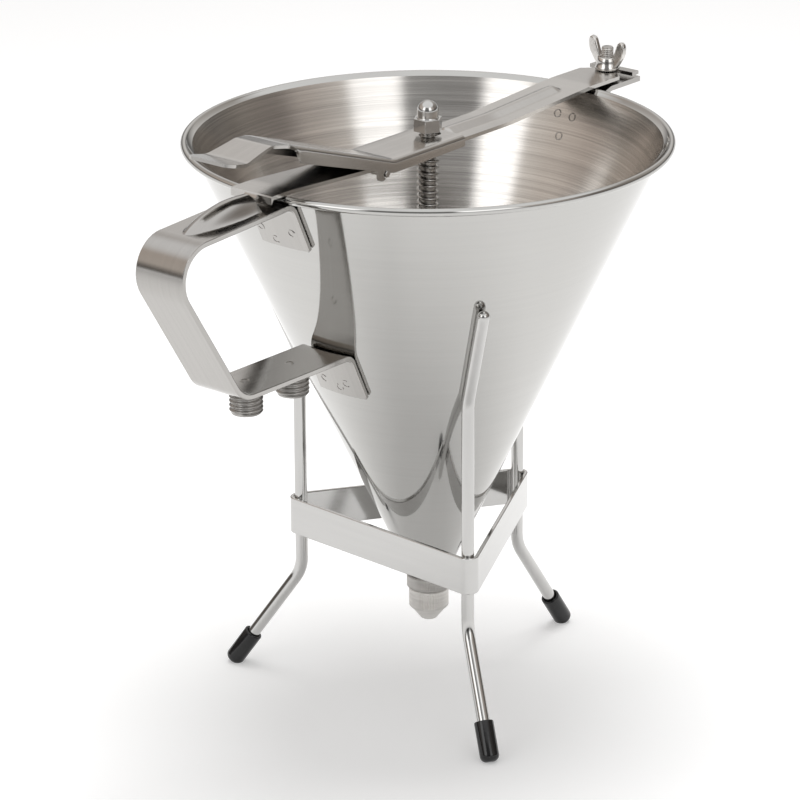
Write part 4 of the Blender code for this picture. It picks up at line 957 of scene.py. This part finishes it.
def rib_rise(x, y):
    """The embossed rib: a round-topped ridge from behind the lever to a round end near the rim."""
    distance = min(math.hypot(max(x - RIB_END, 0.0), y) / RIB_HALF, 1.0)
    return RIB_HEIGHT * (0.5 + 0.5 * math.cos(math.pi * distance)) * smoothstep((x - RIB_START) / RIB_RUN)


def bar_z(x, y):
    """The bar's mid-height with its rib, and the step by which its tongue goes down into the hood."""
    resting = handle_top_z(-x) + HANDLE_SHEET_HALF + SHEET_GAP + BAR_SHEET / 2
    drop = (bar_mid_z(x) - resting) * smoothstep((-x - BAR_HANDLE_END + BAR_STEP_START) / BAR_STEP_RUN)
    return bar_mid_z(x) + rib_rise(x, y) - drop


class FUNNEL_OT_bar(bpy.types.Operator):
    """Press the bridge bar with its rib, cut its tongue, corners and stud slot"""
    bl_idname = "funnel.bar"
    bl_label = "Bridge bar"

    def execute(self, context):
        places = stretches(BAR_STOPS, BAR_COLUMNS)
        across = levels(-BAR_HALF, BAR_HALF, BAR_ROWS)
        columns = len(places) - 1
        bm = grid(columns, BAR_ROWS)
        for vert in bm.verts:
            i, j = cell(vert, columns, BAR_ROWS)
            vert.co = (AXIS_X + places[i], across[j], bar_z(places[i], across[j]))
        low, high = BAR_BOTTOM_Z - 10 * MM, BAR_BOTTOM_Z + 10 * MM
        past, beyond = 12.0 * MM, 20 * MM
        tongue_x = AXIS_X - BAR_TONGUE_END - 2 * MM, AXIS_X + SHEET_GAP - BAR_HANDLE_END
        cutters = [
            block((tongue_x[0], near, low), (tongue_x[1], far, high))
            for near, far in ((BAR_TONGUE_HALF, past), (-past, -BAR_TONGUE_HALF))
        ]
        corner, point = Vector((BAR_REAR_CORNER, BAR_HALF)), Vector((BAR_REAR_END, BAR_REAR_HALF))
        run = (point - corner) / 2
        start, end = corner - run, point + run
        outline = [start, end, Vector((end.x, beyond)), Vector((start.x, beyond))]
        for side in (1, -1):
            cutters.append(raised([(AXIS_X + p.x, side * p.y) for p in outline], low, high))
        slot = slot_outline(BAR_SLOT_START, BAR_REAR_END + 4 * MM, BAR_SLOT_HALF)
        cutters += [raised(slot, low, high), bar_between((AXIS_X, 0, low), (AXIS_X, 0, high), ROD_HOLE, 40)]
        mesh = thickened_and_cut(bm, BAR_SHEET, cutters)
        bar = add_mesh(mesh, "pressed_bar", "funnel", "satin_steel", "bar", angle=40.0, nodes=("bridge_bar",))
        rounded_edges(bar, 0.2 * MM)
        return {"FINISHED"}


class FUNNEL_OT_rear(bpy.types.Operator):
    """Thread the rear stud and shape the cast wing nut"""
    bl_idname = "funnel.rear"
    bl_label = "Rear stud and wing nut"

    def execute(self, context):
        low, high = span("rear_stud", 2)
        radius, head, head_top, chamfer = 2.5 * MM, 4.2 * MM, low + 1.6 * MM, 0.35 * MM
        centre = (STUD_X, 0.0)
        profile = [(0.0, high), (radius - chamfer, high)]
        profile += [(radius, z) for z in levels(high - chamfer, head_top, 150)]
        profile += beside(head, head_top, (-0.3, 0.0), (0.0, -0.3))
        profile += beside(head, low, (0.0, 0.5), (-0.5, 0.0))
        stud = lathe(profile + [(0.0, low)], 36, centre=centre)
        thread(stud, centre, radius, head_top + 3.5 * MM, high + 0.2 * MM, 0.8 * MM, 0.36 * MM)
        add_piece(
            stud, "threaded_rear_stud", "funnel", "satin_steel", "turned", angle=50.0, nodes=("rear_stud",)
        )
        base = span("wing_nut", 2)[0]
        bm = lathe(beside(0.0, base, *NUT_PROFILE), 40, centre=(0.0, 0.0), closed=True)
        for side in (1, -1):
            corners = [(-WING_THICKNESS / 2, side * y * MM, base + z * MM) for y, z in WING_OUTLINE]
            draw_out(bm, corners, (WING_THICKNESS, 0, 0))
        bmesh.ops.transform(bm, matrix=turned_about(STUD_X, WING_TURN), verts=bm.verts)
        nut = add_piece(
            bm, "cast_wing_nut", "wing_nut", "cast_steel", "cast", angle=50.0, nodes=("wing_nut",)
        )
        rounded_edges(nut, 0.7 * MM, segments=4, angle=60.0)
        return {"FINISHED"}


def lever_line():
    """Mid-line of the lever's web as (out, height) points, from the rear end to the paddle's tip."""
    arm_z = LEVER_WEB_Z + LEVER_ARM_SLOPE * (LEVER_ARM_END - LEVER_ARM_START)
    crest_z = arm_z + LEVER_CREST_RISE
    dip_z = crest_z - LEVER_DIP_DROP
    corners = [
        (-LEVER_REAR, LEVER_WEB_Z), (LEVER_BEND, LEVER_WEB_Z), (LEVER_ARM_END, arm_z), (LEVER_CREST, crest_z),
        (LEVER_DIP, dip_z), (LEVER_TIP, dip_z + LEVER_TIP_RISE),
    ]
    return rounded_path(corners, LEVER_BENDS, 12)[0]


def height_at(path, place):
    for a, b in zip(path, path[1:]):
        if a.x - 1e-6 <= place <= b.x + 1e-6:
            return a.y + (b.y - a.y) * clamped((place - a.x) / (b.x - a.x))
    return path[-1].y


def lever_half_width(out):
    neck = smoothstep((out - LEVER_WALL_END) / (LEVER_CREST - LEVER_WALL_END))
    width = LEVER_WALL_Y + (LEVER_NECK_HALF - LEVER_WALL_Y) * neck
    width += LEVER_TIP_GAIN * smoothstep((out - LEVER_CREST) / (LEVER_TIP - LEVER_CREST))
    into = clamped((out - (LEVER_TIP - LEVER_TIP_CORNER)) / LEVER_TIP_CORNER)
    return width - LEVER_TIP_CORNER * (1 - math.sqrt(1 - into * into))


def lever_wall_depth(out, web_z):
    """Depth of the channel's wall under its fold, with the round lobe that holds the pin."""
    depth = LEVER_WALL_REAR + LEVER_WALL_GAIN * (out + LEVER_REAR) / (LEVER_WALL_END + LEVER_REAR)
    reach = LEVER_LOBE ** 2 - (out - LEVER_PIN_PLACE) ** 2
    if reach > 0:
        depth = max(depth, web_z - (LEVER_PIN_Z - math.sqrt(reach)) - LEVER_FOLD_CORNER)
    return depth


def lever_places(path):
    """Places along the lever: evenly spaced, and closer at its bends, lobe, wall end and tip."""
    places = set(levels(-LEVER_REAR, LEVER_TIP, 96)) | {p.x for p in path}
    places |= {LEVER_PIN_PLACE + LEVER_LOBE * math.cos(math.radians(a)) for a in range(0, 181, 10)}
    places |= set(levels(LEVER_WALL_END - LEVER_WALL_CUT, LEVER_WALL_END, 12))
    places |= {LEVER_TIP - LEVER_TIP_CORNER * (1 - math.sin(math.radians(a))) for a in range(0, 90, 8)}
    places.add(LEVER_TIP - 0.03 * MM)
    ordered = []
    for place in sorted(places):
        if not ordered or place - ordered[-1] > 0.12 * MM:
            ordered.append(place)
    return ordered


def lever_section(places, heights, i):
    """Points across the lever at one place: a channel that opens out flat towards the paddle."""
    out, z = places[i], heights[i]
    a, b = max(i - 1, 0), min(i + 1, len(places) - 1)
    along = Vector((places[b] - places[a], heights[b] - heights[a])).normalized()
    down = Vector((along.y, -along.x))
    half, corner = lever_half_width(out), LEVER_FOLD_CORNER
    folded = smoothstep((LEVER_FOLD_END - out) / LEVER_FOLD_RUN)
    depth = lever_wall_depth(out, z) * min(max((LEVER_WALL_END - out) / LEVER_WALL_CUT, 0.05), 1.0)
    inner = half - corner
    channel = [(inner * t, 0.0) for t in (0.0, 0.25, 0.5, 0.75)]
    channel += arc(inner, corner, corner, -90.0, 0.0, 7)
    channel += [(half, corner + depth * t) for t in (0.34, 0.67, 1.0)]
    girth = [0.0]
    for p, q in zip(channel, channel[1:]):
        girth.append(girth[-1] + math.hypot(q[0] - p[0], q[1] - p[1]))
    flat = [half * g / girth[-1] for g in girth]
    points = [(y + (c[0] - y) * folded, c[1] * folded) for y, c in zip(flat, channel)]
    full = [(-y, d) for y, d in reversed(points[1:])] + points
    return [(AXIS_X - (out + down.x * d), y, z + down.y * d) for y, d in full]


class FUNNEL_OT_lever(bpy.types.Operator):
    """Press the lever: a channel over the bar that opens into a curved paddle"""
    bl_idname = "funnel.lever"
    bl_label = "Lever"

    def execute(self, context):
        look = context.scene.funnel_lever_look
        path = lever_line()
        places = lever_places(path)
        heights = [height_at(path, place) for place in places]
        rows = [lever_section(places, heights, i) for i in range(len(places))]
        columns, lines = len(places) - 1, len(rows[0]) - 1
        bm = grid(columns, lines)
        for vert in bm.verts:
            i, j = cell(vert, columns, lines)
            vert.co = rows[i][j]
        pin_x, past = AXIS_X - LEVER_PIN_PLACE, 20 * MM
        slot = slot_outline(0.0, LEVER_SLOT_END, ROD_HOLE)
        cutters = [
            bar_between((pin_x, -past, LEVER_PIN_Z), (pin_x, past, LEVER_PIN_Z), LEVER_PIN_HOLE),
            raised(slot, LEVER_WEB_Z - 2 * MM, LEVER_WEB_Z + 2 * MM),
        ]
        mesh = thickened_and_cut(bm, look.sheet, cutters)
        lever = add_mesh(
            mesh, "pressed_lever", "lever", "polished_steel", "lever", angle=40.0, nodes=("lever",)
        )
        rounded_edges(lever, look.edge)
        return {"FINISHED"}


class FUNNEL_OT_valve(bpy.types.Operator):
    """Turn the valve rod and the dome nut and wind the return spring"""
    bl_idname = "funnel.valve"
    bl_label = "Valve"

    def execute(self, context):
        low, high = span("valve_rod", 2)
        radius, chamfer = 3.0 * MM, 0.4 * MM
        profile = [(0.0, high), (radius - chamfer, high)]
        profile += [(radius, z) for z in levels(high - chamfer, high - 20 * MM, 160)]
        profile += [(radius, z) for z in levels(high - 21 * MM, low, 12)] + [(0.0, low)]
        rod = lathe(profile, 40)
        thread(rod, (AXIS_X, 0.0), radius, high - 19.5 * MM, high, 1.0 * MM, 0.4 * MM)
        add_piece(rod, "turned_rod", "valve", "satin_steel", "turned", angle=50.0, nodes=("valve_rod",))
        self.spring(context.scene.funnel_valve_look)
        self.dome_nut()
        return {"FINISHED"}

    def spring(self, look):
        low, high = span("return_spring", 2)
        top, travel = high - look.wire, (high - low) - 2 * look.wire
        middle = (travel - 2 * COIL_END_PITCH) / (look.turns - 2)
        points = []
        for i in range(look.turns * COIL_POINTS + 1):
            turn = i / COIL_POINTS
            if turn <= 1:
                drop = COIL_END_PITCH * turn
            elif turn <= look.turns - 1:
                drop = COIL_END_PITCH + middle * (turn - 1)
            else:
                drop = travel - COIL_END_PITCH * (look.turns - turn)
            x, y = COIL_RADIUS * math.cos(math.tau * turn), COIL_RADIUS * math.sin(math.tau * turn)
            points.append((AXIS_X + x, y, top - drop))
        coil = wire("coil", points, look.wire, 3)
        mesh = bpy.data.meshes.new_from_object(coil)
        bpy.data.objects.remove(coil, do_unlink=True)
        spring = add_mesh(
            mesh, "wound_spring", "funnel", "spring_steel", "spring", angle=60.0, nodes=("return_spring",)
        )
        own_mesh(spring)

    def dome_nut(self):
        base = span("dome_nut", 2)[0]
        flats, height, dome_r, chamfer = 10.0 * MM, 5.0 * MM, 4.1 * MM, 0.35 * MM
        corner, middle, top = flats / math.sqrt(3.0), base + height / 2, base + height
        bm = bmesh.new()
        bmesh.ops.create_cone(
            bm, cap_ends=True, segments=6, radius1=corner, radius2=corner, depth=height,
            matrix=Matrix.Translation((AXIS_X, 0, middle)),
        )
        for number in range(6):
            around = Matrix.Rotation(math.radians(60.0 * number), 3, "Z")
            for up in (1, -1):
                point = Vector((AXIS_X, 0, middle + up * (height / 2 - chamfer)))
                cut_off(bm, point + around @ Vector((corner, 0, 0)), around @ Vector((0.5, 0, 0.866 * up)))
        profile = arc(0.0, top + 2.8 * MM, dome_r, 90.0, 0.0, 18)
        profile += beside(dome_r, top, (0.0, 0.35), (0.3, 0.02), (0.3, -0.6)) + [(0.0, top - 0.6 * MM)]
        dome = mesh_of(lathe(profile, 64), "dome")
        bm.from_mesh(dome)
        bpy.data.meshes.remove(dome)
        bmesh.ops.recalc_face_normals(bm, faces=bm.faces)
        nut = add_piece(bm, "domed_nut", "valve", "polished_steel", "rod", angle=25.0, nodes=("dome_nut",))
        rounded_edges(nut, 0.12 * MM, angle=25.0)


def leg_angle(index):
    return STAND_TURN + math.tau * index / LEG_COUNT


def leg_line(rod):
    """Centre line of a leg as (radius, height) points, from foot to top, and its upright's radius."""
    beside_cone = (rod + SHEET_GAP) / COS
    upright = cone_radius(LEG_UPPER_BEND_Z) + beside_cone
    corners = [LEG_FOOT, (upright, LEG_LOWER_BEND_Z), (upright, LEG_UPPER_BEND_Z)]
    corners.append((cone_radius(LEG_TOP_Z) + beside_cone, LEG_TOP_Z))
    return rounded_path(corners, LEG_BENDS, 16)[0], upright


class FUNNEL_OT_stand(bpy.types.Operator):
    """Bend the stand's three round-topped rods and the flat band round them"""
    bl_idname = "funnel.stand"
    bl_label = "Stand"

    def execute(self, context):
        look = context.scene.funnel_stand_look
        path, upright = leg_line(look.rod)
        start = path[0] + (path[1] - path[0]).normalized() * 1.3 * MM
        along = (path[-1] - path[-2]).normalized()
        rises = [math.sin(math.radians(t)) for t in levels(0.0, 84.0, 12)] + [0.999]
        line = [start] + path[1:-1] + [path[-1] + along * look.rod * s for s in rises]
        radii = [1.0] * (len(path) - 1) + [math.sqrt(1 - s * s) for s in rises]
        for index in range(LEG_COUNT):
            angle = leg_angle(index)
            points = [(AXIS_X + p.x * math.cos(angle), p.x * math.sin(angle), p.y) for p in line]
            rod = wire(f"rod_leg_{index + 1}", points, look.rod, 9, radii)
            rod.data.materials.append(FINISHES["rod"])
            place_piece(rod, "stand", nodes=(f"stand_leg_{index + 1}",))
        self.band(look, upright)
        return {"FINISHED"}

    def band(self, look, upright):
        radius = look.rod + SHEET_GAP + look.band_sheet / 2
        low = sum(span("stand_band", 2)) / 2 - look.band_height / 2
        sweep = math.radians(60.0)
        bm = bmesh.new()
        verts = []
        for index in range(LEG_COUNT):
            middle = leg_angle(index)
            centre = Vector((AXIS_X + upright * math.cos(middle), upright * math.sin(middle)))
            for angle in levels(middle - sweep, middle + sweep, 14):
                x, y = centre.x + radius * math.cos(angle), centre.y + radius * math.sin(angle)
                verts.append(bm.verts.new((x, y, low)))
        edges = [bm.edges.new(pair) for pair in zip(verts, verts[1:] + verts[:1])]
        move_made(bm, bmesh.ops.extrude_edge_only(bm, edges=edges), (0, 0, look.band_height))
        mesh = thickened_and_cut(bm, look.band_sheet)
        band = add_mesh(
            mesh, "flat_band", "stand", "polished_steel", "band", angle=40.0, nodes=("stand_band",)
        )
        rounded_edges(band, 0.3 * MM, angle=60.0)


class FUNNEL_OT_feet(bpy.types.Operator):
    """Turn the three glossy caps on the feet, with a flat where each stands"""
    bl_idname = "funnel.feet"
    bl_label = "Foot caps"

    def execute(self, context):
        rod = context.scene.funnel_stand_look.rod
        path, _ = leg_line(rod)
        along = (path[1] - path[0]).normalized()
        lean = math.atan2(-along.x, along.y)
        radius, rounding, length = 3.8 * MM, 2.6 * MM, 16.0 * MM
        bore, floor, top, lip = rod + SHEET_GAP, radius - rod - SHEET_GAP, length - radius, 0.45 * MM
        profile = [(0.0, floor), (bore, floor)] + beside(bore, top, (0.0, -0.2), (0.2, 0.0))
        profile += arc(radius - lip, top - lip, lip, 90.0, 0.0, 5)
        profile += arc(radius - rounding, rounding - radius, rounding, 0.0, -90.0, 12) + [(0.0, -radius)]
        for index in range(LEG_COUNT):
            bm = lathe(profile, 48, centre=(0.0, 0.0))
            place = turned_about(AXIS_X, leg_angle(index)) @ Matrix.Translation((path[0].x, 0.0, path[0].y))
            bmesh.ops.transform(bm, matrix=place @ Matrix.Rotation(-lean, 4, "Y"), verts=bm.verts)
            cut_off(bm, (0, 0, 0), (0, 0, -1))
            name, node = f"black_cap_{index + 1}", f"foot_cap_{index + 1}"
            add_piece(bm, name, "stand", "black_rubber", "rubber", angle=50.0, nodes=(node,))
        return {"FINISHED"}


# Studio

def floor_material():
    """A pale floor that shows white to the camera and in reflections and still takes the shadow."""
    constants = {
        "Base Color": FLOOR_GREY, "Roughness": 0.9, "Specular IOR Level": 0.0, "Emission Color": WHITE,
    }
    material, tree, shader = finish_base("Studio floor", constants)
    rays = put(tree, "LightPath").outputs
    seen = calculate(tree, "MAXIMUM", rays["Is Camera Ray"], rays["Is Glossy Ray"])
    seen = calculate(tree, "MAXIMUM", seen, rays["Is Transmission Ray"])
    tree.links.new(calculate(tree, "MULTIPLY", seen, FLOOR_LIFT), shader["Emission Strength"])
    return material


def studio_world(azimuth):
    """White for the camera. Reflections see white low down and overhead, and grey and bright bands between."""
    world = bpy.data.worlds.new("Studio")
    world.use_nodes = True
    tree = world.node_tree
    inputs = {"Vector": put(tree, "TexCoord").outputs["Generated"], "Rotation": (0.0, 0.0, -azimuth)}
    turned = put(tree, "Mapping", inputs, vector_type="VECTOR").outputs["Vector"]
    part = put(tree, "SeparateXYZ", {"Vector": turned}).outputs
    around = calculate(tree, "ARCTAN2", part["X"], part["Y"])
    bands = put(tree, "ValToRGB", {"Fac": remap(tree, around, -math.pi, math.pi)})
    ramp = bands.color_ramp
    ramp.interpolation = "EASE"
    for position, _ in STUDIO_BANDS[2:]:
        ramp.elements.new(position)
    for element, (position, colour) in zip(ramp.elements, STUDIO_BANDS):
        element.position = position
        element.color = (*colour, 1.0)
    inputs = {0: bands.outputs["Color"], "Scale": remap(tree, part["Z"], 0.12, 0.3, 0.22, 1.0)}
    walls = put(tree, "VectorMath", inputs, operation="SCALE").outputs["Vector"]
    low = mixed(tree, remap(tree, part["Z"], 0.0, 0.05), WHITE, walls)
    room = mixed(tree, remap(tree, part["Z"], 0.62, 0.74), low, (1.05, 1.05, 1.05, 1.0))
    rays = put(tree, "LightPath").outputs
    sky = tree.nodes["Background"].inputs
    tree.links.new(mixed(tree, rays["Is Camera Ray"], room, WHITE), sky["Color"])
    tree.links.new(remap(tree, rays["Is Diffuse Ray"], 0.0, 1.0, 1.0, 0.6), sky["Strength"])
    bpy.context.scene.world = world


class FUNNEL_OT_studio(bpy.types.Operator):
    """Set the pale floor, the soft light and the camera at the photograph's angle"""
    bl_idname = "funnel.studio"
    bl_label = "Studio"

    def execute(self, context):
        look = context.scene.funnel_studio_look
        bm = bmesh.new()
        bmesh.ops.create_grid(bm, x_segments=1, y_segments=1, size=FLOOR_HALF)
        floor = loose_object(bm, "floor")
        floor.data.materials.append(floor_material())
        studio_world(look.azimuth)
        self.lamp(context, look)
        self.camera(context, look)
        context.scene.view_settings.view_transform = "Standard"
        return {"FINISHED"}

    def lamp(self, context, look):
        light = bpy.data.lights.new("overhead", "AREA")
        light.shape = "DISK"
        light.size = LAMP_SIZE
        light.energy = look.lamp
        lamp = bpy.data.objects.new("overhead", light)
        lamp.visible_glossy = False
        place = Matrix.Rotation(look.azimuth, 4, "Z") @ Vector(LAMP_PLACE)
        lamp.location = place
        lamp.rotation_euler = (Vector(LAMP_AIM) - place).to_track_quat("-Z", "Y").to_euler()
        context.scene.collection.objects.link(lamp)

    def camera(self, context, look):
        """The camera that was fitted to the rim's ellipse and the stand, turned to the view's side."""
        data = bpy.data.cameras.new("photo_camera")
        data.sensor_width = SENSOR
        data.lens = FOCAL_PIXELS / FRAME_PIXELS * SENSOR
        data.clip_start, data.clip_end = 0.05, 50.0
        yaw, pitch, roll = (math.radians(a) for a in CAMERA_TURNS)
        forward = Vector((math.sin(yaw) * math.cos(pitch), math.cos(yaw) * math.cos(pitch), -math.sin(pitch)))
        right = Vector((math.cos(yaw), -math.sin(yaw), 0.0))
        up = right.cross(forward)
        side = right * math.cos(roll) + up * math.sin(roll)
        upright = up * math.cos(roll) - right * math.sin(roll)
        turn = Matrix((side, upright, -forward)).transposed().to_4x4()
        turn.translation = (0.0, CAMERA_BACK, CAMERA_HEIGHT)
        camera = bpy.data.objects.new("photo_camera", data)
        camera.matrix_world = turned_about(AXIS_X, look.azimuth) @ turn
        context.scene.collection.objects.link(camera)
        context.scene.camera = camera


OPERATORS = (
    FUNNEL_OT_finishes, FUNNEL_OT_bowl, FUNNEL_OT_outlet, FUNNEL_OT_handle, FUNNEL_OT_bar, FUNNEL_OT_rear,
    FUNNEL_OT_lever, FUNNEL_OT_valve, FUNNEL_OT_stand, FUNNEL_OT_feet, FUNNEL_OT_studio,
)


class FUNNEL_PT_panel(bpy.types.Panel):
    """Lists the funnel's sizes, colours and making steps"""
    bl_idname = "FUNNEL_PT_panel"
    bl_label = "Dispensing funnel"
    bl_space_type = "VIEW_3D"
    bl_region_type = "UI"
    bl_category = "Funnel"

    def draw(self, context):
        for name, group in SETTINGS.items():
            column = self.layout.column(align=True)
            for prop in group.__annotations__:
                column.prop(getattr(context.scene, name), prop)
        for operator in OPERATORS:
            self.layout.operator(operator.bl_idname)


CLASSES = tuple(SETTINGS.values()) + OPERATORS + (FUNNEL_PT_panel,)


def register():
    for cls in CLASSES:
        bpy.utils.register_class(cls)
    for name, group in SETTINGS.items():
        setattr(bpy.types.Scene, name, PointerProperty(type=group))


def unregister():
    for name in SETTINGS:
        delattr(bpy.types.Scene, name)
    for cls in reversed(CLASSES):
        bpy.utils.unregister_class(cls)


def main():
    register()
    bpy.ops.funnel.finishes()
    bpy.ops.funnel.bowl()
    bpy.ops.funnel.outlet()
    bpy.ops.funnel.handle()
    bpy.ops.funnel.bar()
    bpy.ops.funnel.rear()
    bpy.ops.funnel.lever()
    bpy.ops.funnel.valve()
    bpy.ops.funnel.stand()
    bpy.ops.funnel.feet()
    bpy.ops.funnel.studio()


if __name__ == "__main__":
    main()
